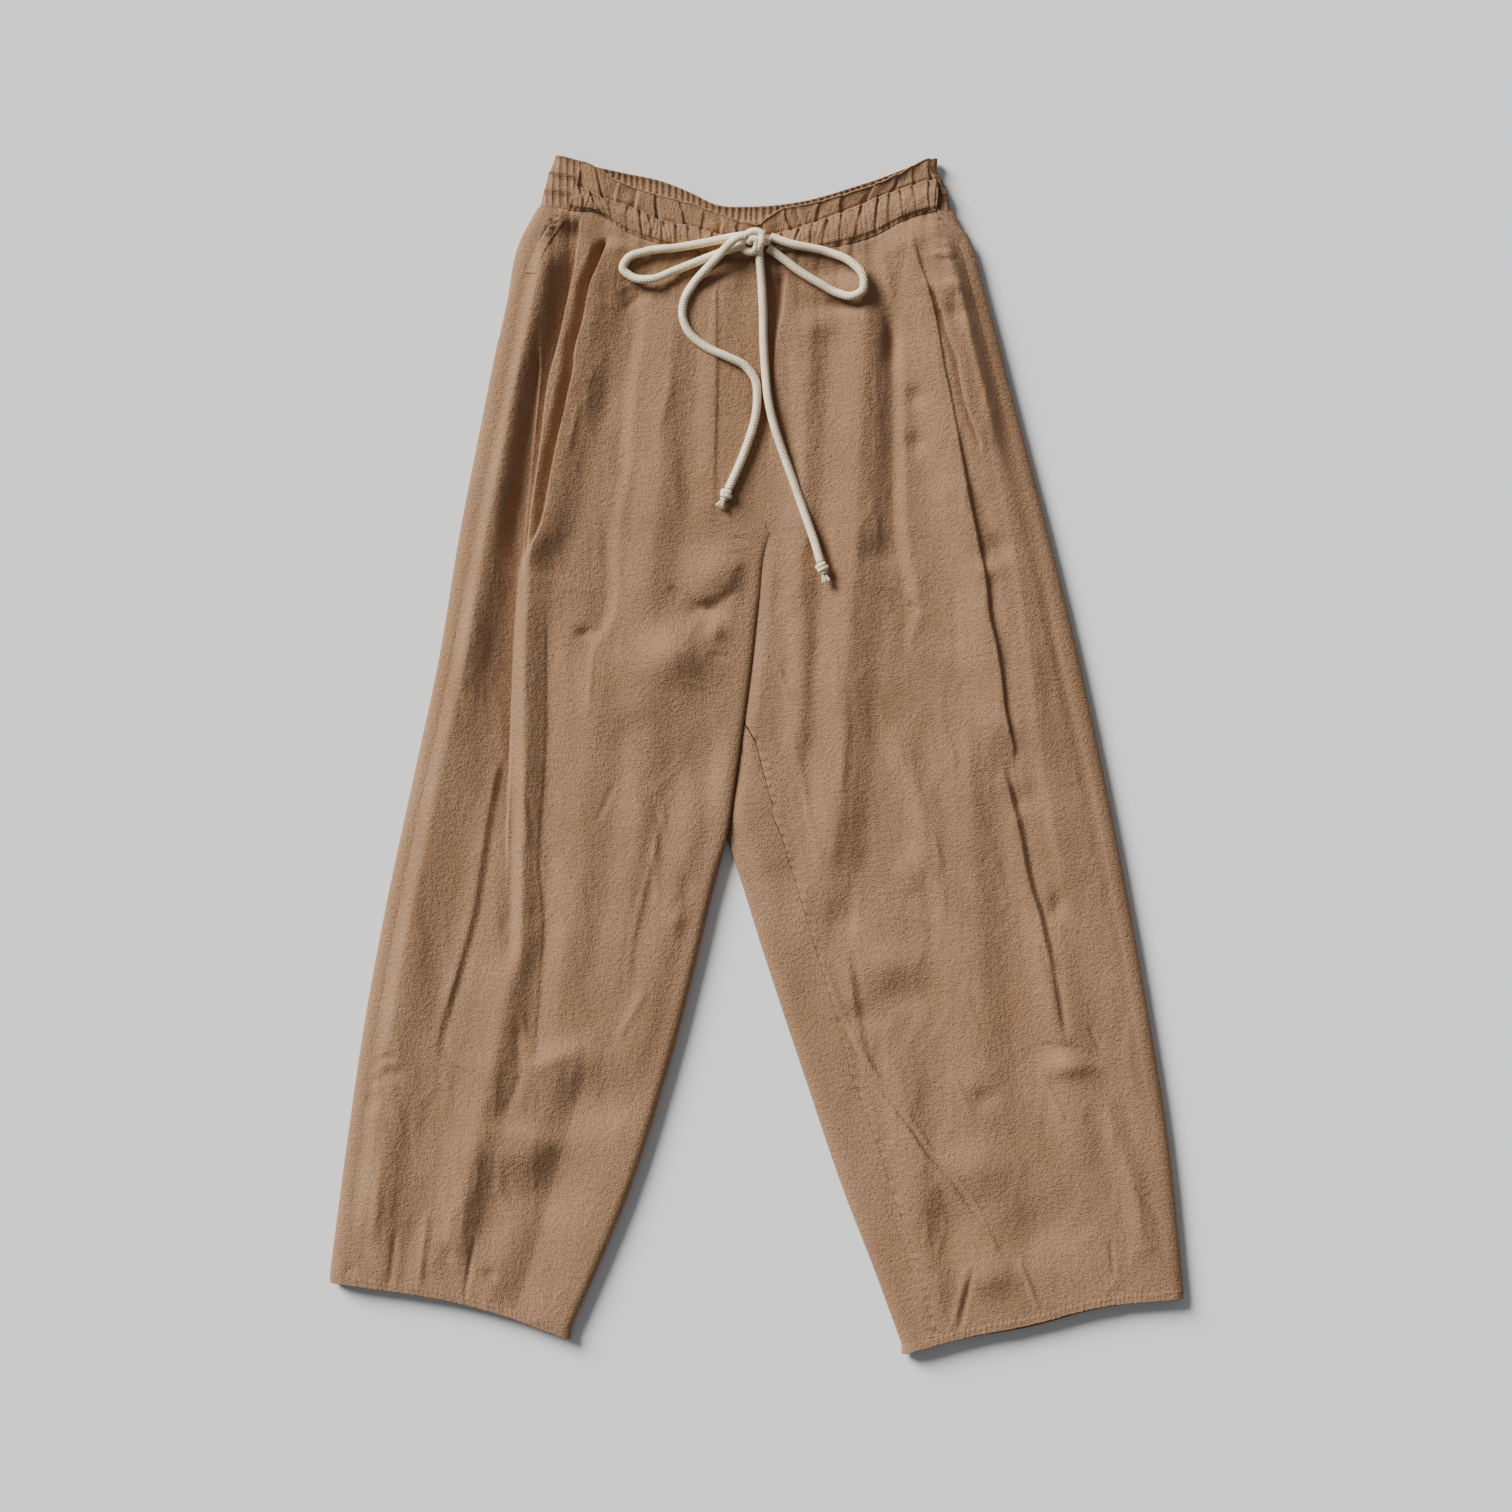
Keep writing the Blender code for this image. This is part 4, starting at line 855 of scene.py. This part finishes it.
@dataclass
class Trousers:
    """The cloth of both legs: fronts, backs, hems and pocket edges."""

    cloth: bpy.types.Material
    thread: bpy.types.Material
    rows: int = 430
    front_columns: int = 205
    back_rows: int = 240
    back_columns: int = 90

    def front(self, leg: Leg, side: str) -> bpy.types.Object:
        """Build one front leg."""
        v = np.linspace(0, 1, self.rows)[:, None]
        outer, inner, _, _ = leg.edges(v)
        points = sections(outer, inner, 1, leg.y_at(v, tucked=5.0), self.front_columns, Relief.front, Relief.main)
        item = grid_mesh(f"front_{side}_cloth", points, flip=leg is LEFT)
        dress(item, self.cloth, "cloth", f"front_{side}")
        return item

    def back(self, leg: Leg, side: str) -> bpy.types.Object:
        """Build one back leg, flat on the ground."""
        v = np.linspace(0, 1, self.back_rows)[:, None]
        outer, inner, _, y_inner = leg.edges(v, BACK_ROLLS_LEFT if leg is LEFT else None)
        if leg is LEFT:
            inner.seam = np.where(y_inner > CROTCH, 0.0, inner.seam)
            far = inner
        else:
            beside_left = read_curve(INNER_LEFT, y_inner) - 0.5
            beside_front = inner.x + read_line(INSEAM_RIGHT, y_inner) - 0.3
            part = smooth((-56 - y_inner) / 20)
            flat = np.zeros_like(v)
            far = Rolls(beside_left + part * (beside_front - beside_left), -1, flat, flat, flat, flat, 1)
        points = sections(outer, far, -1, leg.y_at(v), self.back_columns, Relief.front, Relief.main)
        points[..., 2] = np.maximum(points[..., 2], 0)
        item = grid_mesh(f"back_{side}_cloth", points, flip=leg is RIGHT)
        dress(item, self.cloth, "cloth", f"back_{side}")
        return item

    def hem(self, leg: Leg, side: str) -> bpy.types.Object:
        """Build one turned hem, all round the leg, with its puckered stitch line."""
        down = np.linspace(0, HEM_HEIGHT, 12)[:, None]
        v = np.ones_like(down)
        outer, inner, _, _ = leg.edges(v)

        def over(x: Array, y: Array) -> Array:
            """Height of the hem on top: the leg's own height with puckers under the stitch line."""
            share = down / HEM_HEIGHT
            step = x / 4.3 + 0.5 * noise(x / 13, down * 0, 21)
            pucker = 0.55 * np.abs(np.sin(math.pi * step)) * (0.4 + 0.6 * np.exp(-(((share - 0.25) / 0.22) ** 2)))
            painted_groove_shade = -0.7 * np.exp(-(((share - 0.12) / 0.09) ** 2))
            return Relief.main(x, y) + Relief.creases(x, y) + crumple(x, y, 3) + pucker + painted_groove_shade

        top = sections(outer, inner, 1, leg.y_at(v, -down), 300, over, gap=0)
        beneath = sections(outer, inner, -1, leg.y_at(v, -down), 90, over, gap=0)
        points = np.concatenate([top, beneath[:, -2:0:-1]], axis=1)
        points[..., 2] = np.maximum(points[..., 2], 0)
        item = grid_mesh(f"hem_{side}_cloth", points, ring=True, flip=leg is LEFT)
        thicken(item, 1.1)
        dress(item, self.cloth, "hem", f"hem_{side}_front", f"hem_{side}_back")
        stitches = stitch_row(f"hem_{side}_stitches", top[2, 8:-8] + [0, 0, 0.15], 3.2, 2.3, 0.5)
        dress(stitches, self.thread, "hem")
        return item

    def pocket_edge(self, leg: Leg, side: str, span: tuple[float, float]) -> bpy.types.Object:
        """Build one pocket edge: a narrow strip that follows the front beside its outseam."""
        v = np.linspace(*span, 40)[:, None]
        outer, inner, _, _ = leg.edges(v)

        def over(x: Array, y: Array) -> Array:
            """Height of the strip: the front's own, with stronger puckers."""
            return Relief.front(x, y) + 0.14 * np.sin(y / 1.1)

        whole = sections(outer, inner, 1, leg.y_at(v), 650, over)
        points = whole[:, 3:36:3] + [0, 0, 0.4]
        item = grid_mesh(f"pocket_edge_{side}_cloth", points, flip=leg is LEFT)
        thicken(item, 0.5)
        dress(item, self.cloth, "hem", f"pocket_edge_{side}")
        stitches = stitch_row(f"pocket_edge_{side}_stitches", points[2:-2, 8] + [0, 0, 0.1], 3.0, 2.1, 0.45)
        dress(stitches, self.thread, "hem")
        return item

    def build(self) -> None:
        """Build every piece of the two legs."""
        for leg, side, span in ((RIGHT, "right", (0.009, 0.062)), (LEFT, "left", (0.004, 0.034))):
            self.front(leg, side)
            self.back(leg, side)
            self.hem(leg, side)
            self.pocket_edge(leg, side, span)


class Tuck(NamedTuple):
    """A tuck in the waistband: its x, height and reach on its -X and +X side, and how far it leans on its way down."""

    x: float
    left: float
    left_reach: float
    right: float
    right_reach: float
    lean: float = 0.0


HEADER_TUCKS = (
    Tuck(-150, 1.4, 12, -1.6, 8, 3), Tuck(-135, 2.0, 10, -2.0, 4, 6), Tuck(-119, -1.6, 8, 1.6, 7, -3), Tuck(-101, -2.6, 7, 2.4, 15, -3),
    Tuck(-84.6, 1.6, 10, -3.0, 4, 1), Tuck(-64, 1.2, 14, -1.8, 8, 3), Tuck(-46, 1.2, 8, -1.4, 6, -3), Tuck(-29.6, -2.0, 8, 2.2, 9, 0),
    Tuck(-16, 1.6, 8, -3.0, 5, 1), Tuck(7, -2.4, 6, 2.0, 11, 2), Tuck(26, 1.8, 10, -2.2, 7, 5), Tuck(37, -1.4, 5, 1.8, 8, 5),
    Tuck(52, 1.4, 8, -1.6, 6, -3), Tuck(72, 1.8, 14, -2.0, 8, -5), Tuck(97, -1.8, 9, 1.8, 13, -6), Tuck(118, 1.5, 12, -2.0, 7, -4),
    Tuck(134, 1.2, 8, -1.6, 5, 0), Tuck(147, 1.4, 9, -3.0, 3, 1))
CASING_TUCKS = (
    Tuck(-158, 1.4, 5, -1.8, 4, 2), Tuck(-148, 2.2, 6, -2.2, 4, 5), Tuck(-137, 2.4, 7, -3.0, 4, 8), Tuck(-124, 1.0, 9, -1.4, 9, 3),
    Tuck(-111, 1.0, 8, -1.2, 8, -2), Tuck(-99, 1.8, 9, -3.4, 4, 1), Tuck(-90, 1.6, 5, -1.8, 6, 3), Tuck(-80, 1.2, 6, -1.6, 5, -2),
    Tuck(-68, 1.8, 8, -3.2, 4, 1), Tuck(-57, 1.6, 6, -1.8, 5, 3), Tuck(-47, 1.2, 6, -1.6, 4, 2), Tuck(-38, 1.8, 5, -2.4, 3, 2),
    Tuck(-29, 1.8, 4, -2.4, 3, -1), Tuck(-20, 1.4, 5, -1.8, 4, 0), Tuck(20, 1.6, 6, -2.0, 4, -3), Tuck(33, 2.2, 6, -2.2, 4, -6),
    Tuck(46, 1.6, 8, -1.6, 6, -5), Tuck(58, 1.8, 8, -2.0, 5, -6), Tuck(71, 1.4, 8, -1.8, 6, -4), Tuck(86, 1.4, 8, -1.6, 6, -6),
    Tuck(101, 2.2, 9, -3.2, 4, -5), Tuck(113, 1.4, 7, -1.4, 6, -2), Tuck(123, 1.8, 6, -1.8, 4, 3), Tuck(135, 1.4, 7, -1.8, 4, 3),
    Tuck(146, 2.0, 4, -2.6, 3, 1), Tuck(153, 1.8, 3, -2.4, 3, 0))


@dataclass
class Waistband:
    """The gathered waistband: a frilled header over a ruched casing in front, shirred elastic rows behind."""

    cloth: bpy.types.Material
    thread: bpy.types.Material
    header_share: float = 0.42

    @staticmethod
    def tucks(rows: Sequence[Tuck], x: Array, down: Array) -> Array:
        """Sum the tucks: a raised cosine on each side of a leaning line, and a step between the two sides."""
        total = np.zeros(np.broadcast(x, down).shape)
        for tuck in rows:
            offset = x - tuck.x - tuck.lean * (down - 0.5) - 1.6 * noise(x / 19 + tuck.x, down * 2.2, 37)
            for sign, height, reach in ((-1, tuck.left, tuck.left_reach), (1, tuck.right, tuck.right_reach)):
                across = np.clip(sign * offset / reach, 0, 1)
                total += height * (1 + np.cos(math.pi * across)) / 2 * smooth(0.5 + sign * offset / 2.6)
        return 0.62 * total

    @staticmethod
    def rolls(v: Array) -> tuple[Rolls, Rolls]:
        """Right and left rolled edges at fractions v of the band's height."""
        level = np.ones_like(v)
        right = Rolls(read_curve(BAND_SIDE_RIGHT, v), 1, 9 * level, BAND_LOFT * level, 0 * level,
                      read_curve(BAND_SEAM_RIGHT, v), 4)
        left = Rolls(read_curve(BAND_SIDE_LEFT, v), -1, 6 * level, BAND_LOFT * level, 0 * level,
                     read_curve(BAND_SEAM_LEFT, v), 4)
        return right, left

    def front(self) -> bpy.types.Object:
        """Build the header and casing: a frill that leans back to its edge, over a long ruched swell."""
        w = np.linspace(0, 1, 72)[:, None]
        right, left = self.rolls(w)
        into = np.clip((w - self.header_share) / (1 - self.header_share), 0, 1)
        header = np.clip(w / self.header_share, 0, 1)
        on_casing = smooth((w - self.header_share + 0.012) / 0.024)

        def y_at(x: Array, on_top: Array) -> Array:
            """Position along: header over casing, with a ragged lip where the casing starts."""
            top, mid, foot = (read_curve(rows, x) for rows in (HEADER_TOP, CASING_TOP, CASING_FOOT))
            ragged = (0.9 * self.tucks(CASING_TUCKS, x, into) + 0.8 * noise(x / 4, w * 0, 32)) * np.exp(-into / 0.16)
            frill = (0.35 * self.tucks(HEADER_TUCKS, x, header) + 0.5 * noise(x / 9, w * 0, 33)) * (1 - header)
            return top + (mid - top) * header + (foot - mid) * into + ragged * on_casing + frill

        def over(x: Array, y: Array) -> Array:
            """Height: the casing's swell and tucks, or the header's, which rises to its edge."""
            bold = 0.4 + 1.1 * np.exp(-into / 0.2) + 0.3 * np.exp(-(1 - into) / 0.15)
            fine = (0.35 + 0.5 * noise(x / 23, into * 0.7, 36)) * np.abs(np.sin(math.pi * (x / 4.6 + noise(x / 11, into, 31))))
            swell = 4.2 * np.sin(math.pi * np.clip(into * 0.9 + 0.06, 0, 1)) ** 0.5
            casing = swell + bold * self.tucks(CASING_TUCKS, x, into) + fine + 0.7 * noise(x / 9, into * 3, 34)
            frill = self.tucks(HEADER_TUCKS, x, header) * (0.5 + 0.7 * header) + 0.6 * noise(x / 7, header * 2.2, 35)
            lean = 3.0 * (1 - header) ** 1.5 - 1.2 * np.exp(-((1 - header) / 0.12) ** 2)
            edge = 0.9 * np.exp(-((header / 0.05) ** 2))
            band = BAND_LOFT + (frill + lean + edge) * (1 - on_casing) + casing * on_casing
            onto_leg = smooth((into - 0.8) / 0.2)
            return band * (1 - onto_leg) + (Relief.front(x, y) + 0.9) * onto_leg

        points = sections(right, left, 1, y_at, 620, over, gap=-0.8)
        item = grid_mesh("waistband_front_cloth", points)
        thicken(item, 0.9)
        dress(item, self.cloth, "waistband", "waistband_front")
        lines = [stitch_row(f"casing_stitches_{k}", points[row, 10:-10] + [0, 0, 0.2], 3.1, 2.2, 0.5)
                 for k, row in enumerate((33, 64))]
        for line in lines:
            dress(line, self.thread, "waistband")
        return item

    def back(self) -> bpy.types.Object:
        """Build the elasticated back: three swollen rows of narrow gathers between shirring stitches."""
        v = np.linspace(0, 1, 31)[:, None]
        right, left = self.rolls(v)
        row = np.abs(np.sin(3 * math.pi * v)) ** 0.6

        def y_at(x: Array, on_top: Array) -> Array:
            """Position along, between the band's top and foot."""
            return read_curve(BACK_TOP, x) * (1 - v) + read_curve(BACK_FOOT, x) * v

        points = sections(right, left, -1, y_at, 12 * GATHERS + 1, lambda x, y: x * 0 + BAND_LOFT, gap=-0.8)
        reach = points[..., 0] / RIB_PITCH + 0.25 * noise(points[..., 0] / 9, v * 1.4, 41)
        rib = np.abs(np.sin(math.pi * reach)) ** 0.6 * (0.45 + 0.55 * row)
        outward = np.cross(np.gradient(points, axis=0), np.gradient(points, axis=1))
        outward /= np.linalg.norm(outward, axis=-1, keepdims=True)
        on_ground = smooth((4 - points[..., 2:]) / 4)
        swell = (1.7 * row + 2.2 * rib)[..., None]
        points = points + outward * np.where(points[..., 2:] > 4, 0.6 * swell, 0)
        points[..., 2:] += on_ground * (3.7 - swell) * 0.8
        points[..., 2] = np.maximum(points[..., 2], 0)
        item = grid_mesh("waistband_back_cloth", points, flip=True)
        thicken(item, 0.9)
        dress(item, self.cloth, "waistband", "waistband_back")
        return item

    def build(self) -> None:
        """Build both halves of the waistband."""
        self.front()
        self.back()


# Drawstring: the points of each route, chosen along the cloth, the same as in the solids
ROUTES = {
    "loop_right": ((-8.9, 441.8, 20), (-22, 440, 19.2), (-38, 436.5, 20), (-67, 431.5, 19.6),
                   (-94, 428, 20), (-109, 422, 20), (-113, 414, 20), (-105.5, 406.5, 21), (-89, 404, 24.5),
                   (-67, 412.5, 20.5),
                   (-36, 425, 19), (-20, 430.5, 20.6), (-8.4, 433.2, 21)),
    "loop_left": ((12.4, 440.5, 20), (28, 435, 20.6), (62, 427.5, 19), (80, 419, 22.3), (91, 405.5, 25),
                  (90, 394.5, 25), (82, 390, 23.5), (70, 392.5, 20), (54, 401, 18.8), (38, 410.5, 19.2),
                  (24, 421, 19.6), (10.4, 431.2, 20)),
    "tail_right": ((-8.2, 440, 29.5), (-14, 439, 30), (-22, 433.5, 29.5), (-31, 424, 27), (-42, 413, 22.5),
                   (-53, 401, 19.2), (-61, 387, 18.4), (-62.5, 374, 18), (-57, 360, 17.8), (-43, 347.5, 18.6),
                   (-24, 338.5, 20.4), (-9.4, 331, 19.2), (-0.6, 319, 18.4), (1, 304, 18.4),
                   (-0.5, 288, 18.4),
                   (-5.5, 270, 18.5), (-15, 245, 18.8), (-23.4, 226.5, 20.2)),
    "tail_left": ((2.6, 428, 20.5), (4.6, 404, 19), (6, 377.5, 18.8), (6.4, 352, 19), (8, 325.5, 19),
                  (10.4, 302, 21), (16, 278, 21.4), (22, 260, 20), (31.5, 234, 18.8), (41.6, 205, 19.4),
                  (50.5, 179, 21.6), (54.6, 164.5, 23.6)),
}
# Turns of the bow's knot: each is a short stretch of cord
KNOT_TURNS = {
    "hook": ((-8.4, 440.4, 29.2), (-4, 443, 29.4), (0.5, 443.6, 29.2), (4.2, 441.6, 29.6), (5, 437.6, 30),
             (4, 433.4, 29.4), (2.8, 430.2, 27), (2.4, 427.6, 23)),
    "under": ((-11.5, 440.5, 20.5), (-12.6, 434.6, 20.6), (-9, 428.8, 21.6), (-2.6, 427.6, 23.4), (3, 430.6, 24.4)),
    "heart": ((-7, 434.6, 27), (-3.4, 437.6, 29.2), (0, 436.6, 29.6), (0.8, 432.4, 28), (-0.6, 428.6, 25)),
    "core": ((-10, 438, 21), (-3, 438.6, 24), (4, 437.2, 24), (11.4, 436, 21)),
}


def smooth_path(points: Sequence[tuple[float, float, float]], step: float) -> Array:
    """Evenly spaced points on the smooth curve through a route's own points."""
    route = np.array(points, float)
    reach = np.concatenate(([0], np.cumsum(np.linalg.norm(np.diff(route, axis=0), axis=1))))
    at = np.linspace(0, reach[-1], max(6, int(reach[-1] / step)))
    return np.stack([read_curve(list(zip(reach, route[:, k])), at) for k in range(3)], axis=-1)


def braid(path: Array, radius: float, turns: int = 32) -> Array:
    """Carry a braided round along a path.

    The radius swells where two families of slanted strands pass over each other: the larger of two sines,
    one leaning each way round the cord.

    Args:
        path: Points of the centreline.
        radius: Mean radius.
        turns: Points round the cord.

    Returns:
        Rings of points, rows by turns by 3.
    """
    ahead = np.gradient(path, axis=0)
    ahead /= np.linalg.norm(ahead, axis=1, keepdims=True)
    side = np.cross(ahead, [0, 0, 1.0])
    side /= np.maximum(np.linalg.norm(side, axis=1, keepdims=True), 1e-6)
    up = np.cross(side, ahead)
    reach = np.concatenate(([0], np.cumsum(np.linalg.norm(np.diff(path, axis=0), axis=1))))[:, None]
    angle = np.linspace(0, 2 * math.pi, turns, endpoint=False)[None]
    lay = 2 * math.pi * reach / 10
    strands = np.maximum(np.sin(6 * angle + 4 * lay), np.sin(6 * angle - 4 * lay))
    size = (radius * (0.92 + 0.15 * strands))[..., None]
    return path[:, None] + size * (np.cos(angle)[..., None] * side[:, None] + np.sin(angle)[..., None] * up[:, None])


@dataclass
class Drawstring:
    """The braided cord: two loops and two tails that leave the bow's knot, and a knot at each tail's end."""

    finish: bpy.types.Material
    step: float = 0.5

    def tube(self, name: str, path: Array, radius: float) -> bpy.types.Object:
        """Build a closed braided tube along a path."""
        return grid_mesh(name, braid(path, radius), ring=True, caps=True, flip=True)

    def join(self, name: str, items: list[bpy.types.Object]) -> bpy.types.Object:
        """Join several tubes into one mesh."""
        target = items[0]
        with bpy.context.temp_override(active_object=target, selected_editable_objects=items, selected_objects=items):
            bpy.ops.object.join()
        target.name = target.data.name = name
        return target

    def knot(self) -> bpy.types.Object:
        """Build the bow's knot from its turns of cord."""
        turns = [self.tube(f"turn_{name}", smooth_path(points, self.step), CORD / 2 * 0.96)
                 for name, points in KNOT_TURNS.items()]
        return dress(self.join("bow_knot_cord", turns), self.finish, "cord", "bow_knot")

    def end_knot(self, side: str) -> bpy.types.Object:
        """Build an overhand knot with a frayed tip at a tail's end.

        The knot is one and a half turns of cord round the tail, a helix that closes on the cord, and the tip
        is a sheaf of thin strands that spread like a cone.
        """
        route = np.array(ROUTES[f"tail_{side}"], float)
        heading = route[-1] - route[-2]
        heading[2] = 0
        heading /= np.linalg.norm(heading)
        across = np.array([-heading[1], heading[0], 0])
        up = np.array([0, 0, 1.0])
        start = route[-1]
        t = np.linspace(0, 1, 46)[:, None]
        angle = 2 * math.pi * 1.35 * t + 0.6
        girth = 3.0 + 0.5 * np.sin(math.pi * t)
        wrap = (start + heading * (2.4 + 4.4 * t) + across * girth * np.cos(angle) + up * 0.72 * girth * np.sin(angle))
        core = start + heading * (np.linspace(0.4, 10.5, 14)[:, None])
        pieces = [self.tube(f"wrap_{side}", wrap, 2.3), self.tube(f"core_{side}", core, 2.9)]
        random = np.random.default_rng(7 if side == "right" else 8)
        spin, spread, reach = random.uniform(0, 2 * math.pi, 46), random.uniform(0.1, 1, 46) ** 0.5, random.uniform(5.5, 8, 46)
        run = np.linspace(0, 1, 5)[None, :, None]
        out = spread[:, None, None] * (1.6 + 3.0 * run)
        wave = random.uniform(-0.6, 0.6, (46, 1, 3)) * run
        strand = (start + heading * (9.6 + run * reach[:, None, None]) + wave
                  + across * out * np.cos(spin)[:, None, None] + up * 0.6 * out * np.sin(spin)[:, None, None])
        corner = np.linspace(0, 2 * math.pi, 4)[:-1]
        ring = 0.42 * (across[None] * np.cos(corner)[:, None] + up[None] * np.sin(corner)[:, None])
        points = strand[:, :, None] + ring[None, None]
        base = np.arange(46)[:, None, None] * 15
        i, j = np.meshgrid(np.arange(4), np.arange(3), indexing="ij")
        quad = np.stack([i * 3 + j, (i + 1) * 3 + j, (i + 1) * 3 + (j + 1) % 3, i * 3 + (j + 1) % 3], axis=-1).reshape(1, -1, 4)
        mesh = bpy.data.meshes.new(f"fray_{side}")
        tips = np.stack([np.arange(3), np.arange(3)[::-1] + 12])[None] + base
        mesh.from_pydata((points.reshape(-1, 3) * MM).tolist(), [], (quad[..., ::-1] + base).reshape(-1, 4).tolist()
                         + tips.reshape(-1, 3).tolist())
        mesh.shade_smooth()
        fray = bpy.data.objects.new(f"fray_{side}", mesh)
        bpy.context.scene.collection.objects.link(fray)
        knot = self.join(f"tail_knot_{side}_cord", pieces + [fray])
        return dress(knot, self.finish, "cord", f"tail_knot_{side}")

    def build(self) -> None:
        knot = self.knot()
        for name, route in ROUTES.items():
            path = smooth_path(route, self.step)
            item = dress(self.tube(f"{name}_cord", path, CORD / 2), self.finish, "cord", name)
            pieces = [self.end_knot(name[5:])] if name.startswith("tail") else []
            if name == "tail_left":
                pieces.append(knot)


@dataclass
class Studio:
    """Camera straight above the garment, soft lights from the top left, and the pale ground."""

    frame_width: float = 1.2852
    lens: float = 85.0
    sensor: float = 36.0

    def camera(self) -> None:
        """Place the camera so that the photo's frame is frame_width metres wide at the cloth."""
        data = bpy.data.cameras.new("camera")
        data.lens = self.lens
        data.sensor_width = self.sensor
        item = bpy.data.objects.new("camera", data)
        item.location = (0, 0, self.frame_width * self.lens / self.sensor + LOFT * MM)
        bpy.context.scene.collection.objects.link(item)
        bpy.context.scene.camera = item

    def light(self, name: str, towards: tuple[float, float, float], soft: float, power: float) -> None:
        """Add an even soft light from one side, so that the whole ground is as bright.

        Args:
            name: The light's name.
            towards: Direction from the garment to the light.
            soft: Angle that the light spans, in degrees.
            power: Strength in watts a square metre.
        """
        data = bpy.data.lights.new(name, "SUN")
        data.angle = math.radians(soft)
        data.energy = power
        item = bpy.data.objects.new(name, data)
        spot = np.array(towards) / np.linalg.norm(towards)
        item.location = 4 * spot
        item.rotation_euler = (math.acos(spot[2]), 0, math.atan2(spot[1], spot[0]) + math.pi / 2)
        bpy.context.scene.collection.objects.link(item)

    def ground(self) -> None:
        """Lay the pale board under the garment."""
        mesh = bpy.data.meshes.new("ground")
        reach = 6.0
        mesh.from_pydata([(-reach, -reach, 0), (reach, -reach, 0), (reach, reach, 0), (-reach, reach, 0)], [], [(0, 1, 2, 3)])
        item = bpy.data.objects.new("ground", mesh)
        item.data.materials.append(PaintedBoard().material("painted_board"))
        bpy.context.scene.collection.objects.link(item)

    def build(self) -> None:
        """Set up the camera, lights, sky and ground."""
        self.camera()
        self.light("key", (-1.5, 1.35, 1.16), 28.0, 7.4)
        world = bpy.data.worlds.new("sky")
        world.use_nodes = True
        world.node_tree.nodes["Background"].inputs[0].default_value = (0.95, 0.97, 1.0, 1.0)
        world.node_tree.nodes["Background"].inputs[1].default_value = 0.2
        bpy.context.scene.world = world
        self.ground()


def main() -> None:
    """Build the studio, the drawstring, the legs and the waistband."""
    logging.basicConfig(level=logging.INFO, format="%(name)s: %(message)s")
    Studio().build()
    Drawstring(BraidedCotton().material("braided_cotton")).build()
    cloth = WashedCotton().material("washed_cotton")
    # The sewing thread's painted shade between its strands is the cloth's colour.
    thread = BraidedCotton(Tone.THREAD, Tone.CLOTH, 0.0008).material("sewing_thread")
    Trousers(cloth, thread).build()
    Waistband(cloth, thread).build()


if __name__ == "__main__":
    main()
